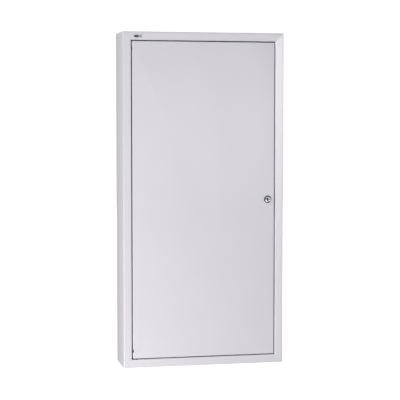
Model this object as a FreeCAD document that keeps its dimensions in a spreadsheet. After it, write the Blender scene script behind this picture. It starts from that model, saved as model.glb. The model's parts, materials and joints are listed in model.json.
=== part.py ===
import FreeCAD, Part
import math
import os

import Sketcher
from FreeCAD import Placement, Rotation, Vector

# Standpipe cabinet: a shallow wall cabinet of folded steel sheet with one inset, key-locked door, and the
# water fittings it holds: an elbow through the back, a clamped riser, an angle hose valve and its cap.
#
# Frame, in millimetres: +X to the right seen from the front, +Y into the wall, +Z up. The origin is the
# centre of the wall fixings on the outside of the back panel.

doc = FreeCAD.newDocument("standpipe_cabinet")


# ---------------------------------------------------------------- driving dimensions

DIMENSIONS = [
    # the case
    ("width", 490.0, "case, outside"),
    ("height", 1000.0, "case, outside"),
    ("depth", 140.0, "case, outside, wall to front"),
    ("case_sheet", 1.5, "sheet of the four case profiles"),
    ("back_sheet", 1.5, "sheet of the back panel"),
    ("border", 25.0, "front border round the door opening"),
    ("border_fall", 1.5, "the border's inner edge lies this far behind its outer edge"),
    ("jamb", 26.0, "border's return into the case, from the front"),
    ("rear_flange", 18.0, "profile's flange that carries the back panel"),
    ("case_bend", 2.5, "outside bend radius of the case"),
    ("back_inset", 3.0, "back panel's edge, in from the case's sides"),
    ("wall_pitch_x", 360.0, "wall fixings, across"),
    ("wall_pitch_z", 900.0, "wall fixings, up"),
    ("wall_hole", 4.5, "wall fixing hole, radius"),
    # the door
    ("door_gap", 3.0, "gap round the door"),
    ("door_set", 0.6, "door's face, behind the border's outer edge"),
    ("door_sheet", 1.25, "door's sheet"),
    ("door_fold", 20.0, "door's depth"),
    ("door_lip", 14.0, "in-turned lip at the back of the door"),
    ("door_bend", 1.6, "outside bend radius of the door"),
    ("notch_end", 23.0, "hanging notch, from the door's end"),
    ("notch_high", 8.0, "hanging notch, height"),
    ("notch_wide", 2.2, "hanging notch, into the door's face"),
    ("notch_deep", 12.0, "hanging notch, into the door's fold"),
    ("rib_pitch", 170.0, "stiffening ribs, apart"),
    ("rib_wide", 44.0, "stiffening rib, over its crown"),
    ("rib_foot", 12.0, "stiffening rib's feet"),
    ("rib_high", 14.0, "stiffening rib, off the skin"),
    ("rib_end", 45.0, "stiffening rib, short of the door's ends"),
    # the pivots
    ("pivot_in", 9.0, "pivot axis, from the door's hinge edge"),
    ("head_room", 0.25, "between the lower pin's head and the back of the border"),
    ("pin_radius", 3.0, "pivot pins"),
    ("pin_play", 0.08, "pivot pins, radial play"),
    ("bush_wall", 0.92, "upper pivot's bush"),
    ("bush_flange", 2.0, "upper pivot's bush, flange past its hole"),
    ("bush_lip", 1.5, "upper pivot's bush, flange thickness"),
    ("washer_wall", 3.42, "lower pivot's thrust washer, across its ring"),
    ("pin_head", 1.35, "lower pin's head, past its shank"),
    ("pin_head_thick", 2.0, "lower pin's head"),
    ("pin_head_break", 0.6, "lower pin's head, its edge broken to clear the border's bend"),
    ("pin_past", 4.0, "lower pin, past its plate"),
    ("pivot_plate_wide", 26.0, "lower pivot plate"),
    ("pin_reach", 9.0, "upper pin, past the door's end"),
    ("pin_travel", 12.0, "upper pin, pulled down to free the door"),
    ("guide_drop", 40.0, "upper pin's guide, below the door's end"),
    ("guide_sheet", 2.0, "upper pin's guide bracket"),
    ("guide_wide", 18.0, "upper pin's guide, its shelf"),
    ("knob", 2.0, "upper pin's knob, past its shank"),
    ("knob_long", 12.0, "upper pin's knob"),
    ("knob_gap", 3.0, "between the knob and the guide"),
    ("pin_collar", 1.8, "upper pin's collar, past its shank"),
    ("pin_collar_thick", 2.0, "upper pin's collar"),
    ("spring_wire", 0.5, "upper pin's spring, radius of its wire"),
    ("spring_play", 1.0, "between the pin and the inside of its spring"),
    ("plate_sheet", 3.0, "lower pivot plate"),
    # the lock
    ("lock_in", 20.7, "lock, from the door's closing edge"),
    ("lock_rim", 1.6, "lock's face, past its barrel"),
    ("lock_proud", 2.4, "lock's face, off the door"),
    ("lock_barrel", 9.4, "lock's barrel, radius"),
    ("lock_long", 14.0, "lock's barrel, behind the door's face"),
    ("plug_radius", 6.6, "lock's plug"),
    ("plug_play", 0.08, "lock's plug in its barrel, radial play"),
    ("key_wide", 1.8, "keyway, across"),
    ("key_high", 8.0, "keyway, up"),
    ("key_deep", 9.8, "keyway, behind the door's face"),
    ("key_drill", 2.4, "drilling at the keyway's middle, radius"),
    ("lock_nut", 2.6, "lock's nut, its flats past the barrel"),
    ("lock_nut_thick", 3.5, "lock's nut"),
    ("tail", 7.0, "plug's square tail, across its flats"),
    ("cam_sheet", 2.0, "cam"),
    ("cam_play", 0.05, "cam on the plug's tail, each side"),
    ("cam_hub", 8.0, "cam's round end, radius"),
    ("cam_washer", 5.6, "cam's washer, radius"),
    ("cam_washer_thick", 1.0, "cam's washer"),
    ("cam_screw", 2.4, "cam's screw, radius"),
    ("cam_screw_play", 0.1, "tapped hole in the plug, past the screw"),
    ("cam_screw_hex", 4.0, "cam's screw head, half across flats"),
    ("cam_screw_head", 3.2, "cam's screw head"),
    ("cam_screw_bite", 2.0, "cam's screw, into the plug's body"),
    ("cam_wide", 14.0, "cam"),
    ("cam_reach", 34.0, "cam, from the lock's axis"),
    ("slot_high", 60.0, "cam's slot in the jamb"),
    ("slot_front", 4.5, "cam's slot in the jamb, from the front"),
    ("slot_back", 21.5, "cam's slot in the jamb, to here from the front"),
    ("door_slot_high", 66.0, "cam's slot in the door's edge"),
    ("door_slot_deep", 9.5, "cam's slot in the door's edge, from the door's back"),
    # the stops and the name plate
    ("stop_in", 70.0, "door stops, from the closing jamb"),
    ("stop_wide", 30.0, "door stop"),
    ("stop_drop", 22.0, "door stop, into the opening"),
    ("buffer_radius", 5.5, "rubber buffer"),
    ("buffer_play", 0.2, "between the closed door and its buffers"),
    ("plate_wide", 28.0, "name plate"),
    ("plate_high", 11.0, "name plate"),
    ("plate_thick", 0.9, "name plate"),
    ("plate_in", 45.5, "name plate's centre, from the case's side"),
    ("plate_down", 13.6, "name plate's centre, from the case's top"),
    # the riser
    ("riser_left", 90.0, "riser, left of the case's middle"),
    ("riser_room", 27.85, "between the wall and the riser"),
    ("pipe_radius", 30.15, "riser pipe"),
    ("pipe_wall", 3.65, "riser pipe"),
    ("elbow_down", 300.0, "elbow, below the case's middle"),
    ("valve_up", 60.0, "valve, above the case's middle"),
    ("thread_deep", 20.0, "pipe in its fittings"),
    ("collar_wall", 7.35, "collars of the elbow and the valve, past the pipe"),
    ("collar_long", 22.5, "elbow's collars"),
    ("inlet_bite", 1.75, "elbow's inlet thread, depth"),
    ("elbow_skin", 3.5, "elbow's wall, outside the pipe's radius"),
    ("grommet_wall", 2.5, "rubber grommet round the elbow"),
    ("grommet_flange", 5.0, "rubber grommet's flange, past its hole"),
    # the clamps
    ("clamp_low", 205.0, "lower clamp, below the case's middle"),
    ("clamp_high", 35.0, "upper clamp, below the case's middle"),
    ("clamp_wide", 25.0, "clamp band"),
    ("clamp_sheet", 2.5, "clamp band"),
    ("lining", 2.0, "clamp's rubber lining"),
    ("ear", 20.0, "clamp's ears"),
    ("ear_split", 1.0, "between the clamp's halves"),
    ("rail_long", 170.0, "clamp rail"),
    ("rail_high", 41.0, "clamp rail"),
    ("rail_deep", 12.0, "clamp rail"),
    ("rail_sheet", 2.0, "clamp rail"),
    ("stud_radius", 4.0, "clamp's stud"),
    ("stud_nut_thick", 5.0, "clamp's stud nut inside the rail"),
    ("jam_nut_thick", 4.0, "clamp's jam nut outside the rail"),
    ("stud_past", 6.0, "clamp's stud, inside the rail"),
    ("boss_long", 5.0, "clamp's boss"),
    ("stud_nut", 6.5, "clamp's stud nuts and boss, half across flats"),
    ("screw_radius", 3.0, "clamp's screws"),
    ("screw_head", 5.1, "clamp's screw heads, radius"),
    ("screw_head_thick", 3.5, "clamp's screw heads"),
    ("screw_drive", 1.5, "clamp's screws, half their hexagon key"),
    ("screw_drive_deep", 2.0, "clamp's screws, depth of the key's socket"),
    ("screw_past", 8.0, "clamp's screws, behind the ears"),
    ("screw_nut", 5.0, "clamp's screw nuts, half across flats"),
    ("screw_nut_thick", 5.0, "clamp's screw nuts"),
    # the valve; heights are from the valve's centre
    ("inlet_long", 58.0, "valve's inlet, below the centre"),
    ("globe", 38.5, "valve body's round part, radius"),
    ("chamber", 29.0, "valve's chamber, radius"),
    ("chamber_low", 18.0, "chamber's floor, below the centre"),
    ("web_low", 24.0, "underside of the seat's web, below the centre"),
    ("body_top", 40.0, "valve body's top"),
    ("seat_bore", 19.0, "valve seat, radius"),
    ("seat_shank", 22.0, "valve seat's thread, radius"),
    ("seat_rim", 26.5, "valve seat's flange, radius"),
    ("seat_flange", 4.0, "valve seat's flange, thickness"),
    ("disc_radius", 25.0, "valve disc"),
    ("disc_facing", 4.0, "valve disc's rubber facing"),
    ("stem_radius", 7.0, "valve stem"),
    ("stem_play", 0.08, "valve stem, radial play"),
    ("bonnet_spigot", 12.0, "bonnet, into the body"),
    ("bonnet_hex", 33.0, "bonnet's hexagon, half across flats"),
    ("bonnet_flats", 9.0, "bonnet's hexagon"),
    ("bonnet_wall", 5.0, "bonnet's spigot"),
    ("bonnet_roof", 3.0, "bonnet's roof, above the body's top"),
    ("packing", 3.5, "stem's packing, wall"),
    ("packing_deep", 10.0, "well for the stem's packing"),
    ("gland_in", 2.0, "gland nut, into the packing's well"),
    ("gland_flats", 8.0, "gland nut's hexagon"),
    ("stem_button", 2.0, "stem's button, past its shank"),
    ("neck_radius", 15.0, "bonnet's neck"),
    ("neck_top", 66.0, "bonnet's neck"),
    ("wheel_up", 96.0, "underside of the handwheel's hub"),
    ("wheel_radius", 50.0, "handwheel"),
    ("rim_radius", 6.0, "handwheel's rim, section"),
    ("spoke_radius", 4.2, "handwheel's spokes"),
    ("hub_radius", 14.0, "handwheel's hub"),
    ("hub_high", 16.0, "handwheel's hub"),
    ("wheel_seat", 2.0, "stem, stepped in at the wheel"),
    ("wheel_nut", 8.5, "wheel's nut, half across flats"),
    ("wheel_nut_thick", 6.0, "wheel's nut"),
    ("branch_up", 5.0, "branch's axis"),
    ("branch_long", 56.0, "valve's branch, from its centre"),
    ("branch_radius", 33.0, "valve's branch"),
    ("branch_thread", 28.4, "branch's thread, over its crests"),
    ("outlet_bore", 20.0, "waterway of the outlet, radius"),
    ("hose_thread", 30.0, "hose thread, over its crests"),
    ("hose_long", 24.0, "hose thread"),
    ("adapter_hex", 12.0, "hose adapter's hexagon, thickness"),
    ("cap_play", 0.3, "cap on the hose thread, radial play"),
    ("cap_wall", 6.0, "cap's wall"),
    ("cap_end", 5.0, "cap's end"),
    ("cap_lug", 9.0, "cap's lugs, off its wall"),
    ("cap_lug_radius", 4.5, "cap's lugs"),
    ("cap_mouth", 1.0, "between the cap's mouth and the adapter's hexagon"),
    ("cap_boss", 14.0, "boss on the cap's end, radius"),
    ("cap_boss_long", 8.0, "boss on the cap's end"),
    ("gasket", 2.0, "cap's rubber gasket"),
]


class Size:
    """A cell of the sheet or a formula of cells: its number, and the text that binds a property to it."""

    def __init__(self, value, text):
        self.value = float(value)
        self.text = text

    def _with(self, other, sign, value, swap=False):
        a, b = (text_of(other), self.text) if swap else (self.text, text_of(other))
        return Size(value, f"({a} {sign} {b})")

    def __add__(self, other):
        return self._with(other, "+", self.value + number(other))

    def __radd__(self, other):
        return self._with(other, "+", number(other) + self.value, swap=True)

    def __sub__(self, other):
        return self._with(other, "-", self.value - number(other))

    def __rsub__(self, other):
        return self._with(other, "-", number(other) - self.value, swap=True)

    def __mul__(self, other):
        return self._with(other, "*", self.value * number(other))

    def __rmul__(self, other):
        return self._with(other, "*", number(other) * self.value, swap=True)

    def __truediv__(self, other):
        return self._with(other, "/", self.value / number(other))

    def __neg__(self):
        return Size(-self.value, f"(0 - {self.text})")


def number(size):
    return size.value if isinstance(size, Size) else float(size)


def text_of(size):
    return size.text if isinstance(size, Size) else repr(float(size))


class Sheet:
    """The driving dimensions by name."""


def driving_sheet():
    table = doc.addObject("Spreadsheet::Sheet", "dims")
    named = Sheet()
    for row, (name, value, note) in enumerate(DIMENSIONS, start=1):
        table.set(f"A{row}", note)
        table.set(f"B{row}", str(value))
        table.setAlias(f"B{row}", name)
        setattr(named, name, Size(value, f"dims.{name}"))
    doc.recompute()
    return named


d = driving_sheet()


# ---------------------------------------------------------------- how pieces are drawn

UP = Rotation()
DOWN = Rotation(Vector(1, 0, 0), 180)
TO_RIGHT = Rotation(Vector(0, 1, 0), 90)  # a piece's own Z points along +X
TO_LEFT = Rotation(Vector(0, 1, 0), -90)  # along -X
TO_WALL = Rotation(Vector(1, 0, 0), -90)  # its Z points along +Y
TO_ROOM = Rotation(Vector(1, 0, 0), 90)  # its Z points along -Y
WELL_CLEAR = 2.0  # a cutting tool runs this far past what it cuts
HEX_CORNER = 2 / math.sqrt(3)  # a hexagon's corner radius over its half width

nodes = {}


def bind(thing, prop, size):
    """Ties one number of an object to the sheet."""
    thing.setExpression(prop, text_of(size))
    return thing


def place(thing, x=0, y=0, z=0, turn=UP):
    thing.Placement = Placement(Vector(number(x), number(y), number(z)), turn)
    for axis, size in zip("xyz", (x, y, z)):
        if isinstance(size, Size):
            bind(thing, f"Placement.Base.{axis}", size)
    return thing


def primitive(kind, sizes, x, y, z, turn=UP):
    thing = doc.addObject(f"Part::{kind}", kind.lower())
    for prop, size in sizes.items():
        bind(thing, prop, size)
    return place(thing, x, y, z, turn)


def box(x, y, z):
    """A block between two positions on each axis: x, y and z are (low, high)."""
    sizes = {"Length": x[1] - x[0], "Width": y[1] - y[0], "Height": z[1] - z[0]}
    return primitive("Box", sizes, x[0], y[0], z[0])


def rod(radius, length, x, y, z, turn=UP):
    return primitive("Cylinder", {"Radius": radius, "Height": length}, x, y, z, turn)


def hexagon(half_width, length, x, y, z, turn=UP):
    """A hexagonal bar, half_width from its axis to each flat."""
    thing = primitive("Prism", {"Circumradius": half_width * HEX_CORNER, "Height": length}, x, y, z, turn)
    thing.Polygon = 6
    return thing


def ring(radius, section, x, y, z, turn=UP):
    return primitive("Torus", {"Radius1": radius, "Radius2": section}, x, y, z, turn)


def fuse(*parts):
    thing = doc.addObject("Part::MultiFuse", "fuse")
    thing.Shapes = list(parts)
    return thing


def cut(base, *tools):
    thing = doc.addObject("Part::Cut", "cut")
    thing.Base = base
    thing.Tool = tools[0] if len(tools) == 1 else fuse(*tools)
    return thing


def group(*parts):
    """Equal pieces that share a node, each still a solid of its own."""
    thing = doc.addObject("Part::Compound", "group")
    thing.Links = list(parts)
    return thing


def tube(outer, inner, length, x, y, z, turn=UP):
    return cut(rod(outer, length, x, y, z, turn), rod(inner, length, x, y, z, turn))


def span(middle, size):
    """Low and high of a size laid centrally about a position."""
    return middle - size / 2, middle + size / 2


def node(name, thing):
    thing.Label = name
    nodes[name] = thing
    return thing


# ---------------------------------------------------------------- PartDesign pieces


def new_body():
    return doc.addObject("PartDesign::Body", "body")


def origin_plane(body, role):
    return next(f for f in body.Origin.OriginFeatures if f.Role == role)


def hold(sketch, index, point, x, y):
    """Holds a point of the sketch's geometry at (x, y) from the sketch's origin."""
    for kind, axis, size in (("DistanceX", -2, x), ("DistanceY", -1, y)):
        if number(size) == 0:
            sketch.addConstraint(Sketcher.Constraint("PointOnObject", index, point, axis))
            continue
        made = sketch.addConstraint(Sketcher.Constraint(kind, -1, 1, index, point, number(size)))
        bind(sketch, f"Constraints[{made}]", size)


def draw_outline(sketch, points):
    first = sketch.GeometryCount
    corners = [Vector(number(x), number(y), 0) for x, y in points]
    ends = corners[1:] + corners[:1]
    sketch.addGeometry([Part.LineSegment(a, b) for a, b in zip(corners, ends)], False)
    for i, (x, y) in enumerate(points):
        line = first + i
        after = first + (i + 1) % len(points)
        sketch.addConstraint(Sketcher.Constraint("Coincident", line, 2, after, 1))
        hold(sketch, line, 1, x, y)


def draw_circle(sketch, x, y, radius):
    centre = Vector(number(x), number(y), 0)
    index = sketch.addGeometry(Part.Circle(centre, Vector(0, 0, 1), number(radius)), False)
    hold(sketch, index, 3, x, y)
    made = sketch.addConstraint(Sketcher.Constraint("Radius", index, number(radius)))
    bind(sketch, f"Constraints[{made}]", radius)


def sketch_on(body, role, outlines=(), circles=(), offset=None):
    """A sketch on one of the body's own planes, moved off it along the plane's normal."""
    sketch = body.newObject("Sketcher::SketchObject", "sketch")
    sketch.AttachmentSupport = [(origin_plane(body, role), "")]
    sketch.MapMode = "FlatFace"
    if offset is not None:
        bind(sketch, "AttachmentOffset.Base.z", offset)
    for points in outlines:
        draw_outline(sketch, points)
    for x, y, radius in circles:
        draw_circle(sketch, x, y, radius)
    doc.recompute()
    return sketch


def rectangle(x, y):
    return [(x[0], y[0]), (x[1], y[0]), (x[1], y[1]), (x[0], y[1])]


def pad(body, sketch, length, back=False, middle=False):
    feature = body.newObject("PartDesign::Pad", "pad")
    feature.Profile = sketch
    bind(feature, "Length", length)
    feature.Reversed = back
    feature.Midplane = middle
    doc.recompute()
    return feature


def pocket(body, sketch, length, forward=False, middle=False):
    """Cuts against the sketch's normal, or along it where forward is set, and checks that it cut."""
    before = body.Shape.Volume
    feature = body.newObject("PartDesign::Pocket", "pocket")
    feature.Profile = sketch
    bind(feature, "Length", length)
    feature.Reversed = forward
    feature.Midplane = middle
    doc.recompute()
    if not body.Shape.Volume < before:
        raise RuntimeError(f"a pocket of {body.Label} cuts nothing")
    return feature


def round_edges(body, radius, chosen):
    """Fillets the edges whose two ends and middle all satisfy chosen(point)."""
    base = body.Tip
    names = []
    for i, edge in enumerate(base.Shape.Edges, start=1):
        points = [v.Point for v in edge.Vertexes] + [edge.CenterOfMass]
        if all(chosen(p) for p in points):
            names.append(f"Edge{i}")
    if not names:
        raise RuntimeError(f"{body.Label} has no edge to round")
    feature = body.newObject("PartDesign::Fillet", "fillet")
    feature.Base = (base, names)
    bind(feature, "Radius", radius)
    doc.recompute()
    return feature


def turned(points, x, y, z, turn=UP):
    """A lathe-turned piece: points are (radius, height) up its own Z axis."""
    body = new_body()
    sketch = sketch_on(body, "XZ_Plane", [points])
    feature = body.newObject("PartDesign::Revolution", "revolution")
    feature.Profile = sketch
    feature.ReferenceAxis = (sketch, ["V_Axis"])
    feature.Angle = 360
    doc.recompute()
    return place(body, x, y, z, turn)


def near(a, b):
    return abs(a - b) < 1e-4


# ---------------------------------------------------------------- places worked out from the dimensions

side = d.width / 2
top = d.height / 2
front = -d.depth
door_front = front + d.door_set
door_back = door_front + d.door_fold
opening_x = side - d.border
opening_z = top - d.border
door_x = opening_x - d.door_gap
door_z = opening_z - d.door_gap
pivot_x = d.pivot_in - door_x
pivot_y = front + d.border_fall + d.case_sheet + d.head_room + d.pin_head + d.pin_radius
lock_x = door_x - d.lock_in
pin_bore = d.pin_radius + d.pin_play
bush_radius = pin_bore + d.bush_wall
riser_out = d.pipe_radius + d.riser_room
collar_radius = d.pipe_radius + d.collar_wall
riser_x = -d.riser_left
riser_y = -riser_out
elbow_z = -d.elbow_down
valve_z = d.valve_up


# ---------------------------------------------------------------- the case


def case_section(reach):
    """Section of a case profile whose wall is at reach: wall, front border, jamb and rear flange."""
    wall = d.case_sheet
    rear = -d.back_sheet
    inner = reach - d.border
    return [
        (reach, front),
        (reach, rear),
        (reach - d.rear_flange, rear),
        (reach - d.rear_flange, rear - wall),
        (reach - wall, rear - wall),
        (reach - wall, front + wall),
        (inner + wall, front + d.border_fall + wall),
        (inner + wall, front + d.jamb),
        (inner, front + d.jamb),
        (inner, front + d.border_fall),
    ]


def case_profile(reach, length, turn, slots=(), holes=()):
    """One side of the case, drawn with its length along Z and its wall at +X, mitred at both ends."""
    body = new_body()
    section = case_section(reach)
    pad(body, sketch_on(body, "XY_Plane", [section]), length, middle=True)
    outer = [section[i] for i in (0, 1, 9)]
    inner = [section[i] for i in (4, 5, 6)]
    for corners, radius in ((outer, d.case_bend), (inner, d.case_bend - d.case_sheet)):
        places = [(number(x), number(y)) for x, y in corners]
        round_edges(body, radius, lambda p, at=places: any(near(p.x, x) and near(p.y, y) for x, y in at))
    end = length / 2
    depth_in = d.border + WELL_CLEAR
    mitres = [
        [
            (reach + WELL_CLEAR, sign * (end + WELL_CLEAR)),
            (reach - depth_in, sign * (end - depth_in)),
            (reach - depth_in, sign * (end + WELL_CLEAR)),
        ]
        for sign in (1.0, -1.0)
    ]
    pocket(body, sketch_on(body, "XZ_Plane", mitres), 3 * d.depth, middle=True)
    if slots or holes:
        through_jamb = sketch_on(body, "YZ_Plane", slots, holes)
        pocket(body, through_jamb, reach - d.border / 2, forward=True)
    return place(body, turn=turn)


def case_sides():
    slot = rectangle((front + d.slot_front, front + d.slot_back), (-d.slot_high / 2, d.slot_high / 2))
    node("right_side_profile", case_profile(side, d.height, UP, slots=[slot]))
    node("left_side_profile", case_profile(side, d.height, Rotation(Vector(0, 1, 0), 180)))
    # the top profile's own Z runs along -X, and the bottom profile's along +X
    upper_hole = (pivot_y, -pivot_x, bush_radius)
    lower_hole = (pivot_y, pivot_x, d.pin_radius)
    node("top_profile", case_profile(top, d.width, TO_LEFT, holes=[upper_hole]))
    node("bottom_profile", case_profile(top, d.width, TO_RIGHT, holes=[lower_hole]))


def back_panel():
    body = new_body()
    x = side - d.back_inset
    z = top - d.back_inset
    outline = rectangle((-x, x), (-z, z))
    holes = [(riser_x, elbow_z, collar_radius + d.grommet_wall)]
    for across in (0.5, -0.5):
        for up in (0.5, -0.5):
            holes.append((across * d.wall_pitch_x, up * d.wall_pitch_z, d.wall_hole))
    pad(body, sketch_on(body, "XZ_Plane", [outline], holes), d.back_sheet)
    node("back_panel", body)


def inlet_grommet():
    hole = collar_radius + d.grommet_wall
    flange = hole + d.grommet_flange
    inside = d.back_sheet + d.grommet_wall
    outline = [
        (collar_radius, 0.0),
        (hole, 0.0),
        (hole, d.back_sheet),
        (flange, d.back_sheet),
        (flange, inside),
        (collar_radius, inside),
    ]
    node("inlet_grommet", turned(outline, riser_x, 0.0, elbow_z, TO_ROOM))


def door_stops():
    """Tabs welded to the rear edge of the upper and lower jambs, each with a rubber buffer for the door."""
    x = span(opening_x - d.stop_in, d.stop_wide)
    rear = front + d.jamb
    start = door_back + d.buffer_play
    tabs, buffers = [], []
    for sign in (1.0, -1.0):
        ends = sorted((sign * (opening_z - d.stop_drop), sign * (opening_z + d.case_sheet)), key=number)
        tabs.append(box(x, (rear, rear + d.case_sheet), ends))
        centre = sign * (door_z - d.door_lip / 2)
        buffers.append(rod(d.buffer_radius, rear - start, opening_x - d.stop_in, start, centre, TO_WALL))
    node("door_stop_tabs", group(*tabs))
    node("door_buffers", group(*buffers))


def name_plate():
    """A thin plate stuck to the top border; it leans with the border so that it lies flat on it."""
    body = new_body()
    outline = rectangle(span(0.0, d.plate_wide), span(0.0, d.plate_high))
    pad(body, sketch_on(body, "XZ_Plane", [outline]), d.plate_thick)
    corners = [(number(px), number(pz)) for px, pz in outline]
    round_edges(body, d.plate_thick, lambda p: any(near(p.x, x) and near(p.z, z) for x, z in corners))
    face = -number(d.plate_thick)
    round_edges(body, d.plate_thick / 3, lambda p: near(p.y, face))
    lean = math.degrees(math.atan(number(d.border_fall) / number(d.border)))
    surface = front + d.border_fall * d.plate_down / d.border
    place(body, d.plate_in - side, surface, top - d.plate_down, Rotation(Vector(1, 0, 0), lean))
    node("name_plate", body)


# ---------------------------------------------------------------- the door


def door_panel():
    """A tray of one sheet: face, four folded edges, and lips turned in behind them."""
    body = new_body()
    whole = rectangle((-door_x, door_x), (-door_z, door_z))
    pad(body, sketch_on(body, "XZ_Plane", [whole], offset=-door_front), d.door_fold, back=True)
    face = number(door_front)
    x, z = number(door_x), number(door_z)
    round_edges(body, d.door_bend, lambda p: near(p.y, face) or (near(abs(p.x), x) and near(abs(p.z), z)))
    skin = d.door_sheet
    inside = rectangle((skin - door_x, door_x - skin), (skin - door_z, door_z - skin))
    pocket(body, sketch_on(body, "XZ_Plane", [inside], offset=-(door_front + skin)), d.door_fold - 2 * skin)
    lip = d.door_lip
    mouth = rectangle((lip - door_x, door_x - lip), (lip - door_z, door_z - lip))
    pocket(body, sketch_on(body, "XZ_Plane", [mouth], offset=-(door_back - 2 * skin)), 4 * skin)
    lock_hole = [(lock_x, 0.0, d.lock_barrel + d.plug_play)]
    before_face = sketch_on(body, "XZ_Plane", circles=lock_hole, offset=WELL_CLEAR - door_front)
    pocket(body, before_face, 2 * WELL_CLEAR + skin)
    pivots = sketch_on(body, "XY_Plane", circles=[(pivot_x, pivot_y, pin_bore)])
    pocket(body, pivots, 2 * d.height, middle=True)
    slot_y = (door_back - d.door_slot_deep, door_back - 2 * skin)
    slot = rectangle(slot_y, span(0.0, d.door_slot_high))
    pocket(body, sketch_on(body, "YZ_Plane", [slot], offset=door_x - 2 * skin), 4 * skin, forward=True)
    notch_y = (door_front - WELL_CLEAR, door_front + d.notch_deep)
    notch_z = door_z - d.notch_end
    notches = [rectangle(notch_y, span(sign * notch_z, d.notch_high)) for sign in (1.0, -1.0)]
    pocket(body, sketch_on(body, "YZ_Plane", notches, offset=d.notch_wide - door_x), 2 * d.notch_wide)
    node("door_panel", body)


def door_ribs():
    """Two hat sections spot-welded up the inside of the door."""
    for name, sign in (("door_rib_left", -1.0), ("door_rib_right", 1.0)):
        body = new_body()
        half = d.rib_wide / 2
        reach = half + d.rib_foot
        sheet = d.door_sheet
        middle = sign * d.rib_pitch / 2
        skin = door_front + sheet
        crown = skin + d.rib_high
        across = [
            (-reach, skin),
            (reach, skin),
            (reach, skin + sheet),
            (half, skin + sheet),
            (half, crown),
            (-half, crown),
            (-half, skin + sheet),
            (-reach, skin + sheet),
        ]
        hollow = rectangle((sheet - half, half - sheet), (skin, crown - sheet))
        length = 2 * (door_z - d.rib_end)
        moved = [(middle + px, py) for px, py in across]
        pad(body, sketch_on(body, "XY_Plane", [moved]), length, middle=True)
        inner = [(middle + px, py) for px, py in hollow]
        pocket(body, sketch_on(body, "XY_Plane", [inner]), length + 2 * WELL_CLEAR, middle=True)
        node(name, body)


# ---------------------------------------------------------------- the pivots


def lower_pivot():
    """A headed pin riveted up through the lower jamb, a nylon washer, and a plate behind the door's hole."""
    under = -(opening_z + d.case_sheet)
    length = d.case_sheet + d.door_gap + d.door_sheet + d.plate_sheet + d.pin_past
    head = d.pin_radius + d.pin_head
    outline = [
        (0.0, -d.pin_head_thick),
        (head, -d.pin_head_thick),
        (head, -d.pin_head_break),
        (head - d.pin_head_break, 0.0),
        (d.pin_radius, 0.0),
        (d.pin_radius, length),
        (0.0, length),
    ]
    node("lower_pivot_pin", turned(outline, pivot_x, pivot_y, under))
    thick = d.door_gap - 2 * d.pin_play
    washer = tube(pin_bore + d.washer_wall, pin_bore, thick, pivot_x, pivot_y, -opening_z)
    node("lower_pivot_washer", washer)
    inner = d.door_sheet - door_x
    bed = d.door_sheet - door_z
    inside_door = (door_front + d.door_sheet, door_back - d.door_sheet)
    plate = box((inner, inner + d.pivot_plate_wide), inside_door, (bed, bed + d.plate_sheet))
    drill = rod(pin_bore, 4 * d.plate_sheet, pivot_x, pivot_y, bed - d.plate_sheet)
    node("lower_pivot_plate", cut(plate, drill))


def upper_pivot():
    """A sprung pin in the door: pulled down by its knob, it leaves the bush in the upper jamb."""
    flange = bush_radius + d.bush_flange
    bush = [
        (pin_bore, -d.bush_lip),
        (flange, -d.bush_lip),
        (flange, 0.0),
        (bush_radius, 0.0),
        (bush_radius, 2 * d.case_sheet),
        (pin_bore, 2 * d.case_sheet),
    ]
    node("upper_pivot_bush", turned(bush, pivot_x, pivot_y, opening_z))

    inner = d.door_sheet - door_x
    y = (door_front + d.door_sheet, door_back - d.door_sheet)
    under = door_z - d.door_sheet
    low = door_z - d.guide_drop
    leaf = box((inner, inner + d.guide_sheet), y, (low, under))
    shelf = box((inner, inner + d.guide_wide), y, (low, low + d.guide_sheet))
    drill = rod(pin_bore, 4 * d.guide_sheet, pivot_x, pivot_y, low - d.guide_sheet)
    node("release_pin_guide", cut(fuse(leaf, shelf), drill))

    tip = door_z + d.pin_reach
    collar = low + d.guide_sheet + 2 * d.pin_travel
    knob_top = low - d.knob_gap
    knob_low = knob_top - d.knob_long
    r = d.pin_radius
    knob = r + d.knob
    collar_top = collar + d.pin_collar_thick
    broken = 0.8
    outline = [
        (0.0, knob_low),
        (knob - broken, knob_low),
        (knob, knob_low + broken),
        (knob, knob_top - broken),
        (knob - broken, knob_top),
        (r, knob_top),
        (r, collar),
        (r + d.pin_collar, collar),
        (r + d.pin_collar, collar_top),
        (r, collar_top),
        (r, tip - broken),
        (r - broken, tip),
        (0.0, tip),
    ]
    node("release_pin", turned(outline, pivot_x, pivot_y, 0.0))
    node("release_pin_spring", pin_spring(low + d.guide_sheet, collar))


def pin_spring(low, high):
    """A round-wire compression spring between the guide and the pin's collar, as one helical sweep."""
    wire = number(d.spring_wire)
    coil_radius = number(d.pin_radius + d.spring_play) + wire
    length = number(high - low) - 2 * wire
    turns = 8
    path = Part.makeHelix(length / turns, length, coil_radius)
    section = Part.Wire(Part.makeCircle(wire, Vector(coil_radius, 0, 0), Vector(0, 1, 0)))
    coil = Part.Wire(path).makePipeShell([section], True, True)
    spring = doc.addObject("Part::Feature", "spring")
    spring.Shape = coil
    return place(spring, pivot_x, pivot_y, low + d.spring_wire)


# ---------------------------------------------------------------- the lock


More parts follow.
